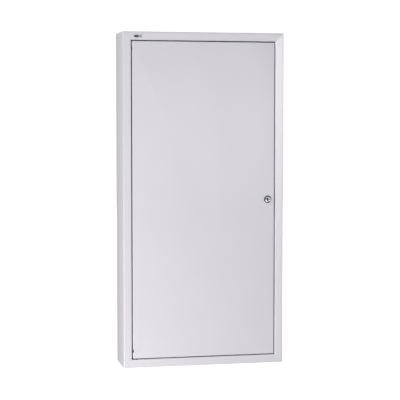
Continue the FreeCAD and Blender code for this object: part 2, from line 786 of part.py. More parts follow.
def door_lock():
    bore = d.plug_radius + d.plug_play
    barrel = d.lock_barrel
    rim = barrel + d.lock_rim
    proud = d.lock_proud
    housing = [
        (bore, -d.lock_long),
        (barrel, -d.lock_long),
        (barrel, 0.0),
        (rim, 0.0),
        (rim, 0.3 * proud),
        (rim - 0.35, 0.7 * proud),
        (rim - 1.1, 0.94 * proud),
        (rim - 1.7, proud),
        (rim - 2.3, 0.94 * proud),
        (bore + 0.9, 0.45 * proud),
        (bore, 0.4 * proud),
    ]
    node("lock_housing", turned(housing, lock_x, door_front, 0.0, TO_ROOM))
    nut = hexagon(barrel + d.lock_nut, d.lock_nut_thick, lock_x, door_front + d.door_sheet, 0.0, TO_WALL)
    hole = rod(barrel, 2 * d.lock_nut_thick, lock_x, door_front, 0.0, TO_WALL)
    node("lock_nut", cut(nut, hole))
    lock_core()
    lock_cam()


def lock_core():
    """The plug: its domed face, keyway, and the square tail that drives the cam."""
    face = 0.62 * d.lock_proud
    r = d.plug_radius
    outline = [(0.0, -d.lock_long), (r, -d.lock_long), (r, face - 0.5), (r - 0.5, face), (0.0, face)]
    core = turned(outline, lock_x, door_front, 0.0, TO_ROOM)
    rear = door_front + d.lock_long
    half = d.tail / 2
    tail = box((lock_x - half, lock_x + half), (rear - 1.0, rear + d.cam_sheet), (-half, half))
    before = door_front - 2 * d.lock_proud
    keyway = box(span(lock_x, d.key_wide), (before, door_front + d.key_deep), span(0.0, d.key_high))
    drill = rod(d.key_drill, 2 * d.lock_proud + d.key_deep, lock_x, before, 0.0, TO_WALL)
    tap_depth = d.cam_screw_bite + WELL_CLEAR / 2
    tap_long = tap_depth + d.cam_sheet + WELL_CLEAR
    tapped = rod(d.cam_screw + d.cam_screw_play, tap_long, lock_x, rear - tap_depth, 0.0, TO_WALL)
    node("lock_plug", cut(fuse(core, tail), keyway, drill, tapped))


def lock_cam():
    """Hangs down when unlocked; a quarter turn swings it through the door's edge into the jamb."""
    y = door_front + d.lock_long
    half = d.cam_wide / 2
    hub = rod(d.cam_hub, d.cam_sheet, lock_x, y, 0.0, TO_WALL)
    bar = box((lock_x - half, lock_x + half), (y, y + d.cam_sheet), (half - d.cam_reach, 0.0))
    tip = rod(half, d.cam_sheet, lock_x, y, half - d.cam_reach, TO_WALL)
    square = d.tail / 2 + d.cam_play
    drive = box((lock_x - square, lock_x + square), (y - 1.0, y + 2 * d.cam_sheet), (-square, square))
    node("lock_cam", cut(fuse(hub, bar, tip), drive))
    rear = y + d.cam_sheet
    hole = d.cam_screw + 3 * d.cam_screw_play
    node("cam_washer", tube(d.cam_washer, hole, d.cam_washer_thick, lock_x, rear, 0.0, TO_WALL))
    under_head = rear + d.cam_washer_thick
    head = hexagon(d.cam_screw_hex, d.cam_screw_head, lock_x, under_head, 0.0, TO_WALL)
    tip = y - d.cam_screw_bite
    shank = rod(d.cam_screw, under_head + d.cam_screw_head / 2 - tip, lock_x, tip, 0.0, TO_WALL)
    node("cam_screw", fuse(head, shank))


# ---------------------------------------------------------------- the riser


def inlet_elbow():
    """Cast 90-degree elbow: a collar to the wall, a quarter bend, and a collar up to the riser."""
    bend = riser_out - d.collar_long
    bore = d.pipe_radius - d.pipe_wall
    y_face = riser_y + bend
    z_face = elbow_z + bend
    rear_collar = rod(collar_radius, d.collar_long, riser_x, y_face, elbow_z, TO_WALL)
    up_collar = rod(collar_radius, d.collar_long, riser_x, riser_y, z_face)
    outer = fuse(rear_collar, up_collar, quarter_bend(bend, d.pipe_radius + d.elbow_skin))
    rear_bore = rod(bore, d.collar_long, riser_x, y_face, elbow_z, TO_WALL)
    up_bore = rod(bore, d.collar_long, riser_x, riser_y, z_face)
    inlet_thread = d.pipe_radius - d.inlet_bite
    rear_thread = rod(inlet_thread, d.thread_deep, riser_x, -d.thread_deep, elbow_z, TO_WALL)
    socket = elbow_z + riser_out - d.thread_deep
    up_thread = rod(d.pipe_radius, d.thread_deep, riser_x, riser_y, socket)
    node("inlet_elbow", cut(outer, quarter_bend(bend, bore), rear_bore, up_bore, rear_thread, up_thread))


def quarter_bend(bend, radius):
    """A round bar bent through 90 degrees, from the rear collar to the upper one."""
    sizes = {"Radius1": bend, "Radius2": radius}
    turn = Rotation(Vector(0, 1, 0), 90) * Rotation(Vector(0, 0, 1), -90)
    thing = primitive("Torus", sizes, riser_x, riser_y + bend, elbow_z + bend, turn)
    thing.Angle3 = 90
    return thing


def riser_pipe():
    low = elbow_z + riser_out - d.thread_deep
    high = valve_z - d.inlet_long + d.thread_deep
    node("riser_pipe", tube(d.pipe_radius, d.pipe_radius - d.pipe_wall, high - low, riser_x, riser_y, low))


# ---------------------------------------------------------------- the pipe clamps


def clamp_half(middle, sign):
    """Half of one clamp band with its two ears; sign is -1 for the half in front of the pipe."""
    outer = d.pipe_radius + d.lining + d.clamp_sheet
    low, high = span(middle, d.clamp_wide)
    band = tube(outer, outer - d.clamp_sheet, d.clamp_wide, riser_x, riser_y, low)
    split = riser_y + sign * d.ear_split / 2
    far = riser_y + sign * (outer + WELL_CLEAR)
    y = (split, far) if sign > 0 else (far, split)
    keep = box(span(riser_x, 3 * outer), y, (low - 1.0, high + 1.0))
    half = doc.addObject("Part::Common", "common")
    half.Base = band
    half.Tool = keep
    face = split + sign * d.clamp_sheet
    thick = (split, face) if sign > 0 else (face, split)
    ears, holes = [], []
    for end in (1.0, -1.0):
        near_edge = riser_x + end * (outer - d.clamp_sheet / 2)
        far_edge = riser_x + end * (outer + d.ear)
        x = (near_edge, far_edge) if end > 0 else (far_edge, near_edge)
        ears.append(box(x, thick, (low, high)))
        hole_x = riser_x + end * (outer + d.ear / 2)
        hole_y = riser_y - 4 * d.clamp_sheet
        holes.append(rod(d.screw_radius, 8 * d.clamp_sheet, hole_x, hole_y, middle, TO_WALL))
    return cut(fuse(half, *ears), *holes)


def clamps():
    """Two rails welded to the back panel, each with a stud that carries a two-part lined clamp."""
    outer = d.pipe_radius + d.lining + d.clamp_sheet
    rail_face = -(d.back_sheet + d.rail_deep)
    rail_inside = rail_face + d.rail_sheet
    band_back = riser_y + outer
    rails, studs, stud_nuts, rears, fronts, linings, screws, screw_nuts = ([] for _ in range(8))
    for middle in (-d.clamp_low, -d.clamp_high):
        x = span(riser_x, d.rail_long)
        z = span(middle, d.rail_high)
        y = (rail_face, -d.back_sheet)
        hollow_z = (z[0] + d.rail_sheet, z[1] - d.rail_sheet)
        hollow = box((x[0] - 1.0, x[1] + 1.0), (rail_inside, y[1] + 1.0), hollow_z)
        drill = rod(d.stud_radius, 4 * d.rail_sheet, riser_x, rail_face - d.rail_sheet, middle, TO_WALL)
        rails.append(cut(box(x, y, z), hollow, drill))

        stud_end = rail_inside + d.stud_past
        studs.append(rod(d.stud_radius, stud_end - band_back, riser_x, band_back, middle, TO_WALL))
        jam_nut = (rail_face - d.jam_nut_thick, d.jam_nut_thick)
        for face, thick in ((rail_inside, d.stud_nut_thick), jam_nut):
            nut = hexagon(d.stud_nut, thick, riser_x, face, middle, TO_WALL)
            hole = rod(d.stud_radius, thick + 1.0, riser_x, face - 0.5, middle, TO_WALL)
            stud_nuts.append(cut(nut, hole))

        boss = hexagon(d.stud_nut, d.boss_long + 1.0, riser_x, band_back - 1.0, middle, TO_WALL)
        tapped = rod(d.stud_radius, d.boss_long + 1.0, riser_x, band_back, middle, TO_WALL)
        low = middle - d.clamp_wide / 2
        pipe_room = rod(outer - 1.0, d.clamp_wide, riser_x, riser_y, low)
        rears.append(fuse(clamp_half(middle, 1.0), cut(boss, tapped, pipe_room)))
        fronts.append(clamp_half(middle, -1.0))
        linings.append(tube(outer - d.clamp_sheet, d.pipe_radius, d.clamp_wide, riser_x, riser_y, low))

        ear_front = riser_y - d.ear_split / 2 - d.clamp_sheet
        ear_back = riser_y + d.ear_split / 2 + d.clamp_sheet
        for end in (1.0, -1.0):
            screw_x = riser_x + end * (outer + d.ear / 2)
            long = ear_back - ear_front + d.screw_past
            shank = rod(d.screw_radius, long, screw_x, ear_front, middle, TO_WALL)
            face = ear_front - d.screw_head_thick
            head = rod(d.screw_head, d.screw_head_thick, screw_x, face, middle, TO_WALL)
            deep = d.screw_drive_deep
            drive = hexagon(d.screw_drive, 2 * deep, screw_x, face - deep, middle, TO_WALL)
            screws.append(cut(fuse(shank, head), drive))
            nut = hexagon(d.screw_nut, d.screw_nut_thick, screw_x, ear_back, middle, TO_WALL)
            hole = rod(d.screw_radius, d.screw_nut_thick + 1.0, screw_x, ear_back - 0.5, middle, TO_WALL)
            screw_nuts.append(cut(nut, hole))
    node("clamp_rails", group(*rails))
    node("clamp_studs", group(*studs))
    node("clamp_stud_nuts", group(*stud_nuts))
    node("clamp_rear_halves", group(*rears))
    node("clamp_front_halves", group(*fronts))
    node("clamp_linings", group(*linings))
    node("clamp_screws", group(*screws))
    node("clamp_screw_nuts", group(*screw_nuts))


# ---------------------------------------------------------------- the hose valve


def valve_body():
    """Cast angle body: the riser's thread below, the seat's web, the chamber, and the branch to the right."""
    collar_top = d.inlet_long - d.thread_deep - 2.0
    outline = [
        (d.pipe_radius, -d.inlet_long),
        (collar_radius - 1.0, -d.inlet_long),
        (collar_radius, 1.0 - d.inlet_long),
        (collar_radius, -collar_top),
        (d.globe - 3.0, 4.0 - collar_top),
        (d.globe, 12.0 - collar_top),
        (d.globe, d.body_top - 12.0),
        (d.globe - 2.0, d.body_top - 10.0),
        (d.globe - 2.0, d.body_top),
        (d.chamber, d.body_top),
        (d.chamber, -d.chamber_low),
        (d.seat_shank, -d.chamber_low),
        (d.seat_shank, -d.web_low),
        (d.pipe_radius - d.pipe_wall, -d.web_low - 4.0),
        (d.pipe_radius - d.pipe_wall, d.thread_deep - d.inlet_long),
        (d.pipe_radius, d.thread_deep - d.inlet_long),
    ]
    barrel = turned(outline, riser_x, riser_y, valve_z)
    axis_z = valve_z + d.branch_up
    start = riser_x + d.chamber - 6.0
    branch = rod(d.branch_radius, d.branch_long + riser_x - start, start, riser_y, axis_z, TO_RIGHT)
    inside = rod(d.chamber, d.body_top + d.chamber_low, riser_x, riser_y, valve_z - d.chamber_low)
    waterway = rod(d.outlet_bore, d.branch_long + 1.0, riser_x, riser_y, axis_z, TO_RIGHT)
    end = riser_x + d.branch_long
    thread = rod(d.branch_thread, d.thread_deep + 1.0, end - d.thread_deep, riser_y, axis_z, TO_RIGHT)
    node("valve_body", cut(fuse(barrel, cut(branch, inside)), waterway, thread))


def valve_seat():
    floor = -d.chamber_low
    outline = [
        (d.seat_bore, -d.web_low),
        (d.seat_shank, -d.web_low),
        (d.seat_shank, floor),
        (d.seat_rim, floor),
        (d.seat_rim, floor + d.seat_flange - 0.8),
        (d.seat_bore + 3.0, floor + d.seat_flange),
        (d.seat_bore, floor + d.seat_flange),
    ]
    node("valve_seat", turned(outline, riser_x, riser_y, valve_z))


def valve_disc():
    """The disc, its rubber facing, and the nut that holds the stem's button in it; it doesn't turn."""
    low = d.seat_flange - d.chamber_low
    under = low + d.disc_facing
    button = d.stem_radius + d.stem_button
    socket = button + 2 * d.stem_play
    boss = button + 5.0
    node("disc_facing", rod(d.disc_radius - 1.0, d.disc_facing, riser_x, riser_y, valve_z + low))
    plate_top = under + 8.0
    joint = plate_top + 7.0
    outline = [
        (0.0, under),
        (d.disc_radius, under),
        (d.disc_radius, plate_top - 2.0),
        (boss, plate_top),
        (boss, joint),
        (socket, joint),
        (socket, plate_top + 1.0),
        (0.0, plate_top + 1.0),
    ]
    node("valve_disc", turned(outline, riser_x, riser_y, valve_z))
    bore = d.stem_radius + d.stem_play
    nut = hexagon(boss, 6.0, riser_x, riser_y, valve_z + joint)
    node("disc_nut", cut(nut, rod(bore, 8.0, riser_x, riser_y, valve_z + joint - 1.0)))
    valve_stem(plate_top + 1.0, button, joint)


def valve_stem(floor, button, joint):
    """One turned stem: a button held in the disc, the shank, and a thread for the wheel's nut."""
    r = d.stem_radius
    thread = r - d.wheel_seat
    end = d.wheel_up + d.hub_high + d.wheel_nut_thick + 2.0
    outline = [
        (0.0, floor + d.stem_play),
        (button, floor + d.stem_play),
        (button, joint - d.stem_play),
        (r, joint - d.stem_play),
        (r, d.wheel_up),
        (thread, d.wheel_up),
        (thread, end - 1.0),
        (thread - 1.0, end),
        (0.0, end),
    ]
    node("valve_stem", turned(outline, riser_x, riser_y, valve_z))


def valve_bonnet():
    """Bonnet screwed into the body's top, the packing in its neck, and the gland nut over it."""
    bore = d.stem_radius + d.stem_play
    top_face = d.body_top
    hex_top = top_face + d.bonnet_flats
    well = bore + d.packing
    well_floor = d.neck_top - d.packing_deep
    spigot_bore = d.chamber - d.bonnet_wall
    outline = [
        (spigot_bore, top_face - d.bonnet_spigot),
        (d.chamber, top_face - d.bonnet_spigot),
        (d.chamber, top_face),
        (d.bonnet_hex, top_face),
        (d.bonnet_hex, hex_top),
        (d.neck_radius + 3.0, hex_top),
        (d.neck_radius, hex_top + 4.0),
        (d.neck_radius, d.neck_top),
        (well, d.neck_top),
        (well, well_floor),
        (bore, well_floor),
        (bore, top_face + d.bonnet_roof),
        (spigot_bore, top_face + d.bonnet_roof / 3),
    ]
    turned_part = turned(outline, riser_x, riser_y, valve_z)
    flats = hexagon(d.bonnet_hex, d.bonnet_flats, riser_x, riser_y, valve_z + top_face)
    cavity = rod(spigot_bore, d.bonnet_roof / 3, riser_x, riser_y, valve_z + top_face)
    shaft = rod(d.neck_radius, d.bonnet_flats, riser_x, riser_y, valve_z + top_face)
    node("valve_bonnet", fuse(turned_part, cut(flats, cavity, shaft)))
    packing_long = d.packing_deep - d.gland_in
    node("stem_packing", tube(well, bore, packing_long, riser_x, riser_y, valve_z + well_floor))
    under_flange = d.neck_top + 1.0
    under_flats = under_flange + 3.0
    follower = [
        (bore, d.neck_top - d.gland_in),
        (well, d.neck_top - d.gland_in),
        (well, under_flange),
        (d.neck_radius, under_flange),
        (d.neck_radius, under_flats),
        (bore, under_flats),
    ]
    flats = hexagon(d.neck_radius, d.gland_flats, riser_x, riser_y, valve_z + under_flats)
    drill = rod(bore, d.gland_flats + 2.0, riser_x, riser_y, valve_z + under_flats - 1.0)
    node("gland_nut", fuse(turned(follower, riser_x, riser_y, valve_z), cut(flats, drill)))


def handwheel():
    """A cast wheel: hub, rim and five round spokes, held on the stem by a nut."""
    hub_z = valve_z + d.wheel_up
    rim_z = hub_z + d.hub_high / 2
    rim = ring(d.wheel_radius - d.rim_radius, d.rim_radius, riser_x, riser_y, rim_z)
    hub = rod(d.hub_radius, d.hub_high, riser_x, riser_y, hub_z)
    spokes = []
    for i in range(5):
        turn = Rotation(Vector(0, 0, 1), 18 + 72 * i) * TO_RIGHT
        spokes.append(rod(d.spoke_radius, d.wheel_radius - d.rim_radius, riser_x, riser_y, rim_z, turn))
    thread = d.stem_radius - d.wheel_seat
    bore = rod(thread, d.hub_high + 2.0, riser_x, riser_y, hub_z - 1.0)
    node("handwheel", cut(fuse(rim, hub, *spokes), bore))
    nut_z = hub_z + d.hub_high
    nut = hexagon(d.wheel_nut, d.wheel_nut_thick, riser_x, riser_y, nut_z)
    node("wheel_nut", cut(nut, rod(thread, d.wheel_nut_thick + 2.0, riser_x, riser_y, nut_z - 1.0)))


# ---------------------------------------------------------------- the outlet


def hose_outlet():
    """Brass adapter screwed into the branch: a hexagon, then the hose thread."""
    axis_z = valve_z + d.branch_up
    face = riser_x + d.branch_long
    shank = rod(d.branch_thread, d.thread_deep, face - d.thread_deep, riser_y, axis_z, TO_RIGHT)
    flats = hexagon(d.branch_radius, d.adapter_hex, face, riser_y, axis_z, TO_RIGHT)
    thread = rod(d.hose_thread, d.hose_long, face + d.adapter_hex, riser_y, axis_z, TO_RIGHT)
    length = d.thread_deep + d.adapter_hex + d.hose_long + 2 * WELL_CLEAR
    bore = rod(d.outlet_bore + 1.0, length, face - d.thread_deep - WELL_CLEAR, riser_y, axis_z, TO_RIGHT)
    node("hose_adapter", cut(fuse(shank, flats, thread), bore))

    start = face + d.adapter_hex
    spigot_end = start + d.hose_long
    inner = d.hose_thread + d.cap_play
    outer = inner + d.cap_wall
    end_inside = d.hose_long + d.gasket
    end_face = end_inside + d.cap_end
    boss_face = end_face + d.cap_boss_long
    outline = [
        (inner, d.cap_mouth),
        (outer - 0.8, d.cap_mouth),
        (outer, d.cap_mouth + 0.8),
        (outer, end_face - 2.0),
        (outer - 2.0, end_face),
        (d.cap_boss, end_face),
        (d.cap_boss, boss_face - 1.0),
        (d.cap_boss - 1.0, boss_face),
        (0.0, boss_face),
        (0.0, end_inside),
        (inner, end_inside),
    ]
    shell = turned(outline, start, riser_y, axis_z, TO_RIGHT)
    lug_x = start + d.hose_long / 2
    reach = outer + d.cap_lug
    lugs = rod(d.cap_lug_radius, 2 * reach, lug_x, riser_y, axis_z - reach)
    room = rod(inner, d.hose_long, start, riser_y, axis_z, TO_RIGHT)
    node("outlet_cap", fuse(shell, cut(lugs, room)))
    node("cap_gasket", rod(d.hose_thread, d.gasket, spigot_end, riser_y, axis_z, TO_RIGHT))


# ---------------------------------------------------------------- build and write


def build():
    case_sides()
    back_panel()
    inlet_grommet()
    door_stops()
    name_plate()
    door_panel()
    door_ribs()
    lower_pivot()
    upper_pivot()
    door_lock()
    inlet_elbow()
    riser_pipe()
    clamps()
    valve_body()
    valve_seat()
    valve_disc()
    valve_bonnet()
    handwheel()
    hose_outlet()


def write_steps():
    doc.recompute()
    for thing in doc.Objects:
        if {"Invalid", "Error"} & set(thing.State):
            raise RuntimeError(f"{thing.Label} did not compute")
    os.makedirs("parts", exist_ok=True)
    for name, thing in nodes.items():
        shape = thing.Shape
        if shape.isNull() or not shape.isValid():
            raise RuntimeError(f"{name} has no valid shape")
        shape.exportStep(f"parts/{name}.step")
        print(name, len(shape.Solids), "solid(s)", round(shape.Volume / 1000, 2), "cm3")


build()
write_steps()
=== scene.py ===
# %% [markdown]
# # A standpipe cabinet, dressed over its CAD frame
# A shallow wall cabinet folded from steel sheet, with one inset door, and the pipe and hose valve that it
# holds. Each cell makes one kind of piece or finish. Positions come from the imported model, so a piece always
# sits where its engineering part does, and it rides on the same moving body.

import json
import math

import bmesh
import bpy
from mathutils import Matrix, Vector


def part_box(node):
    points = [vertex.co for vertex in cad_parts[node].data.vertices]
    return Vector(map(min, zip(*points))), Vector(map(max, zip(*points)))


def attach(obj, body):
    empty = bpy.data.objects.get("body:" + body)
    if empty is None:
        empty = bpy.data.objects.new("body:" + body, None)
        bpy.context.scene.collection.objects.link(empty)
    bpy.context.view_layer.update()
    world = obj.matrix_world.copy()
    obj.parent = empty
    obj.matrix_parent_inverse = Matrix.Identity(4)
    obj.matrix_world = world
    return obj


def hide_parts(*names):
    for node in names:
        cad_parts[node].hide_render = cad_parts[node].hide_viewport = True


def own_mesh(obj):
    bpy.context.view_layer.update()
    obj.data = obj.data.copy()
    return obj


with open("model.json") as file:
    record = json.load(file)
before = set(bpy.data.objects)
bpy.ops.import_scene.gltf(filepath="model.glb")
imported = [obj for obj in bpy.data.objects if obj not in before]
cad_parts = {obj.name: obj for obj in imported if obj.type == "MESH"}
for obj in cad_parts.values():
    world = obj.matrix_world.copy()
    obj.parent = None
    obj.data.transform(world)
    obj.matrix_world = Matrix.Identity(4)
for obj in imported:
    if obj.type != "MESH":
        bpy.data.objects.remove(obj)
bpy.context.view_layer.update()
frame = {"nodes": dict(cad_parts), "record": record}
MM = 0.001
SLOT_OF = {row["node"]: row["material_slot"] for row in frame["record"]["subparts"]}
BODY_OF = {node: body for body, group in frame["record"]["behaviour"]["bodies"].items() for node in group}

# %% [markdown]
# ## Colours and shader nodes
# A finish is named by the colour that the eye sees, as a hex code, and one function turns that into the
# linear light that the renderer works in. One more helper adds a shader node and wires or fills its sockets,
# which keeps each finish below to a few lines.

# %% Shader helpers


def linear(code):
    """A hex colour as linear red, green, blue and alpha."""
    parts = [int(code[i : i + 2], 16) / 255 for i in (1, 3, 5)]
    return (*[c / 12.92 if c <= 0.04045 else ((c + 0.055) / 1.055) ** 2.4 for c in parts], 1.0)


def put(tree, kind, values=None, **props):
    """Adds a node. A value that is another node's output is linked, anything else is set on the socket."""
    node = tree.nodes.new(kind)
    for prop, value in props.items():
        setattr(node, prop, value)
    for name, value in (values or {}).items():
        if isinstance(value, bpy.types.NodeSocket):
            tree.links.new(value, node.inputs[name])
        else:
            node.inputs[name].default_value = value
    return node


def shader(name, **principled):
    """A new material with a Principled shader; returns the material, its tree and the shader."""
    print("finish:", name)
    material = bpy.data.materials.new(name)
    material.use_nodes = True
    tree = material.node_tree
    bsdf = tree.nodes["Principled BSDF"]
    for socket, value in principled.items():
        bsdf.inputs[socket.replace("_", " ")].default_value = value
    return material, tree, bsdf


def place_of(tree):
    return put(tree, "ShaderNodeTexCoord").outputs["Object"]


def grain(tree, size_mm, detail=2.0, stretch=None, rough=0.5):
    """Noise whose features are about size_mm across, in the object's own metres; stretch squeezes an axis."""
    where = place_of(tree)
    if stretch:
        where = put(tree, "ShaderNodeVectorMath", {0: where, 1: stretch}, operation="MULTIPLY").outputs[0]
    values = {"Vector": where, "Scale": 1 / (size_mm * MM), "Detail": detail, "Roughness": rough}
    return put(tree, "ShaderNodeTexNoise", values).outputs["Fac"]


def relief(tree, bsdf, height, depth_mm, strength=1.0):
    values = {"Height": height, "Distance": depth_mm * MM, "Strength": strength}
    bump = put(tree, "ShaderNodeBump", values)
    tree.links.new(bump.outputs["Normal"], bsdf.inputs["Normal"])


def between(tree, factor, low, high):
    """A number that runs from low to high as factor runs from 0 to 1."""
    values = {"Value": factor, "To Min": low, "To Max": high}
    return put(tree, "ShaderNodeMapRange", values).outputs["Result"]


def blended(tree, factor, low, high):
    """A colour between two hex colours."""
    values = {"Factor": factor, 6: linear(low), 7: linear(high)}
    return put(tree, "ShaderNodeMix", values, data_type="RGBA").outputs[2]


def surface(name, colours, tone, rough=None, bumps=None, **principled):
    """A finish whose colour drifts between two hex codes with the grain tone.

    rough is (grain, low, high) and bumps is (grain, depth in mm, strength). A grain of None is tone's.
    """
    material, tree, bsdf = shader(name, **principled)
    drift = grain(tree, *tone)
    tree.links.new(blended(tree, drift, *colours), bsdf.inputs["Base Color"])
    if rough:
        by = grain(tree, *rough[0]) if rough[0] else drift
        tree.links.new(between(tree, by, *rough[1:]), bsdf.inputs["Roughness"])
    if bumps:
        by = grain(tree, *bumps[0]) if bumps[0] else drift
        relief(tree, bsdf, by, *bumps[1:])
    return material


# %% [markdown]
# ## Powder coat
# The sheet is sprayed with dry powder and baked. The powder flows before it sets, so the coat has a faint
# orange peel, two or three millimetres across and a few microns deep, and a semi-gloss that softens every
# reflection. A second, much longer swell stands for sheet that is never quite flat.

# %% Powder coat


def powder_coat():
    material, tree, bsdf = shader("light_grey_powder_coat", Roughness=0.26, IOR=1.5)
    swell = grain(tree, 90, detail=1.0)
    peel = grain(tree, 2.4, detail=1.0)
    tree.links.new(blended(tree, swell, "#d6d4d9", "#d9d7db"), bsdf.inputs["Base Color"])
    deep = put(tree, "ShaderNodeMath", {0: swell, 1: 12.0}, operation="MULTIPLY").outputs[0]
    height = put(tree, "ShaderNodeMath", {0: deep, 1: peel}, operation="ADD").outputs[0]
    relief(tree, bsdf, height, 0.006)
    return material


FINISH = {"grey_powder_coat": powder_coat()}

# %% [markdown]
# ## Plated metals
# Zinc plate is thin and bright, with cloudy patches where the bath ran unevenly and a slight straw tint from
# the passivation dip. Chrome is polished first, so it is smooth enough to mirror the room. The lock's outer
# rim is coloured dark, a painted reflection that stands in for dark surroundings mirrored in the chrome, and
# its keyhole is coloured dark as painted shade. The name plate is rolled aluminium, brushed one way.

# %% Plated metals
METAL = {"Metallic": 1.0}
BRUSHED = (0.3, 3.0, (0.05, 1.0, 1.0))
FINISH.update(
    zinc_plated_steel=surface(
        "bright_zinc_plate", (
            "#b9bcc2", "#d0cdc0"
        ), (9, 3.0), (None, 0.24, 0.42), ((0.7,), 0.01, 0.4), **METAL
    ),
    chromed_zinc=surface("polished_chrome", ("#c9c9cc", "#d6d6d8"), (3,), (None, 0.07, 0.13), **METAL),
    # The next finish is a painted reflection: a dark base colour for the lock's rim, standing in for dark
    # surroundings mirrored in chrome.
    black_nickel=surface("black_nickel", ("#232325", "#2e2e30"), (3,), (None, 0.16, 0.24), **METAL),
    # The next finish also paints the lock's keyhole dark, as painted shade in the keyway.
    blackened_steel=surface("blackened_steel", ("#2c2c2f", "#3b3a3c"), (6,), (None, 0.32, 0.46), **METAL),
    anodised_plate=surface(
        "brushed_aluminium", ("#c4c6ca", "#e2e3e6"), BRUSHED, None, (None, 0.01, 0.5), Roughness=0.3, **METAL
    ),
    dark_field=surface("dark_printed_field", ("#2c2d30", "#38393c"), (1.2,), Roughness=0.42),
    grey_field=surface("grey_printed_field", ("#86888c", "#94969a"), (1.2,), Roughness=0.42),
)

# %% [markdown]
# ## Brass, iron and enamel
# Valve bodies are sand cast, and the sand leaves a skin of grains half a millimetre across. Where they are
# machined the brass is smooth, with fine rings left by the tool. The elbow is black malleable iron. Enamel is
# brushed on thickly enough to round off the casting beneath it.

# %% Brass, iron and enamel
BRASS_SAND, IRON_SAND = (0.8, 3.0, None, 0.6), (1.1, 4.0, None, 0.6)


def enamel(name, low, high, brush):
    """Thick paint; brush says how far the grain of its brush marks is squeezed along each axis."""
    marks = (3.0, 3.0, brush)
    coat = {"Roughness": 0.24, "Coat_Weight": 0.5, "Coat_Roughness": 0.12}
    return surface(name, (low, high), (40,), None, (marks, 0.05, 0.5), **coat)


FINISH.update(
    cast_brass=surface(
        "sand_cast_brass", ("#a98a4e", "#c6a764"), (14, 4.0), (
            BRASS_SAND, 0.34, 0.55
        ), (BRASS_SAND, 0.18, 0.7), **METAL
    ),
    machined_brass=surface(
        "machined_brass", ("#c9a75c", "#dcbf78"), (20,), ((0.5,), 0.18, 0.3), ((0.35,), 0.008, 0.5), **METAL
    ),
    black_iron=surface(
        "black_malleable_iron", ("#1f1f20", "#312f2d"), (18,), (IRON_SAND, 0.42, 0.66), (IRON_SAND, 0.2, 0.7)
    ),
    red_enamel=enamel("red_pipe_enamel", "#9a1712", "#ab1f17", (1.0, 1.0, 0.12)),
    red_wheel_enamel=enamel("red_wheel_enamel", "#a81410", "#b81d16", (1.0, 1.0, 0.4)),
)

# %% [markdown]
# ## Rubber, nylon and packing
# Rubber is dark and dull with a fine moulded grain. The pivot bush and washer are black nylon, a little
# glossier. The valve's gland is packed with a braided graphite cord, whose plaits show as a fine slanting
# weave.

# %% Rubber, nylon and packing


def graphite_braid():
    material, tree, bsdf = shader("braided_graphite", Roughness=0.55)
    values = {"Vector": place_of(tree), "Scale": 1 / (1.5 * MM)}
    weave = put(tree, "ShaderNodeTexWave", values, bands_direction="DIAGONAL").outputs["Fac"]
    tree.links.new(blended(tree, weave, "#17181a", "#3a3b3e"), bsdf.inputs["Base Color"])
    relief(tree, bsdf, weave, 0.2, 0.8)
    return material


FINISH.update(
    black_rubber=surface(
        "moulded_black_rubber",
        ("#1b1b1c", "#262628"),
        (12,),
        ((0.6,), 0.58, 0.74),
        ((0.6,), 0.03, 0.6),
        Specular_IOR_Level=0.35,
    ),
    black_nylon=surface("black_nylon", ("#161617", "#1e1e20"), (5,), Roughness=0.42),
    graphite_packing=graphite_braid(),
)
for name, obj in frame["nodes"].items():
    obj.data.materials.clear()
    obj.data.materials.append(FINISH[SLOT_OF[name]])
print("finishes:", sorted(FINISH))

# %% [markdown]
# ## How a piece is built
# Sheet parts are outlines pushed along a line, turned parts are outlines spun about an axis, and castings are
# rough solids melted together. These helpers make each as a mesh; `carved` cuts one with others, and
# `add_piece` turns the result into an object that replaces its CAD node and rides with its body.

# %% Mesh helpers
UP = Matrix.Identity(4)
TO_RIGHT = Matrix.Rotation(math.radians(90), 4, "Y")
TO_WALL = Matrix.Rotation(math.radians(-90), 4, "X")
TO_ROOM = Matrix.Rotation(math.radians(90), 4, "X")


def spot(x, y, z, turn=UP):
    return Matrix.Translation(Vector((x, y, z))) @ turn


def skin(rings, closed=False):
    """Quads between rings of points. A ring of one point is a pole. Open ends are capped."""
    bm = bmesh.new()
    made = [[bm.verts.new(p) for p in ring] for ring in rings]
    pairs = list(zip(made, made[1:] + made[:1])) if closed else list(zip(made, made[1:]))
    for low, high in pairs:
        count = max(len(low), len(high))
        if count == 1:
            continue
        for i in range(count):
            j = (i + 1) % count
            corners = [low[i % len(low)], low[j % len(low)], high[j % len(high)], high[i % len(high)]]
            bm.faces.new(list(dict.fromkeys(corners)))
    if not closed:
        for ring in (made[0], made[-1]):
            if len(ring) > 2:
                bm.faces.new(ring)
    bmesh.ops.recalc_face_normals(bm, faces=bm.faces)
    return bm


def circle(radius, height, steps):
    """Points round a circle at one height."""
    angles = [2 * math.pi * i / steps for i in range(steps)]
    return [(radius * math.cos(a), radius * math.sin(a), height) for a in angles]


def lathe(outline, where=UP, steps=72):
    """Spins a closed outline of (radius, height) about its own Z."""
    rings = [circle(r, z, steps) if r >= 1e-7 else [(0.0, 0.0, z)] for r, z in outline]
    on_axis = len(rings[0]) == 1 and len(rings[-1]) == 1
    bm = skin(rings, closed=not on_axis)
    bm.transform(where)
    return bm


def rounded(points, steps=5):
    """A closed 2-D outline of (x, y, radius), each corner turned into an arc of that radius."""
    out = []
    count = len(points)
    for i, (x, y, radius) in enumerate(points):
        here = Vector((x, y))
        before = (Vector(points[i - 1][:2]) - here).normalized()
        after = (Vector(points[(i + 1) % count][:2]) - here).normalized()
        if radius <= 0:
            out.append((x, y))
            continue
        half = before.angle(after) / 2
        reach = radius / math.tan(half)
        centre = here + (before + after).normalized() * (radius / math.sin(half))
        start = here + before * reach - centre
        sweep = start.angle_signed(here + after * reach - centre)
        for k in range(steps + 1):
            spoke = start.copy()
            spoke.rotate(Matrix.Rotation(-sweep * k / steps, 2))
            out.append(tuple(centre + spoke))
    return out


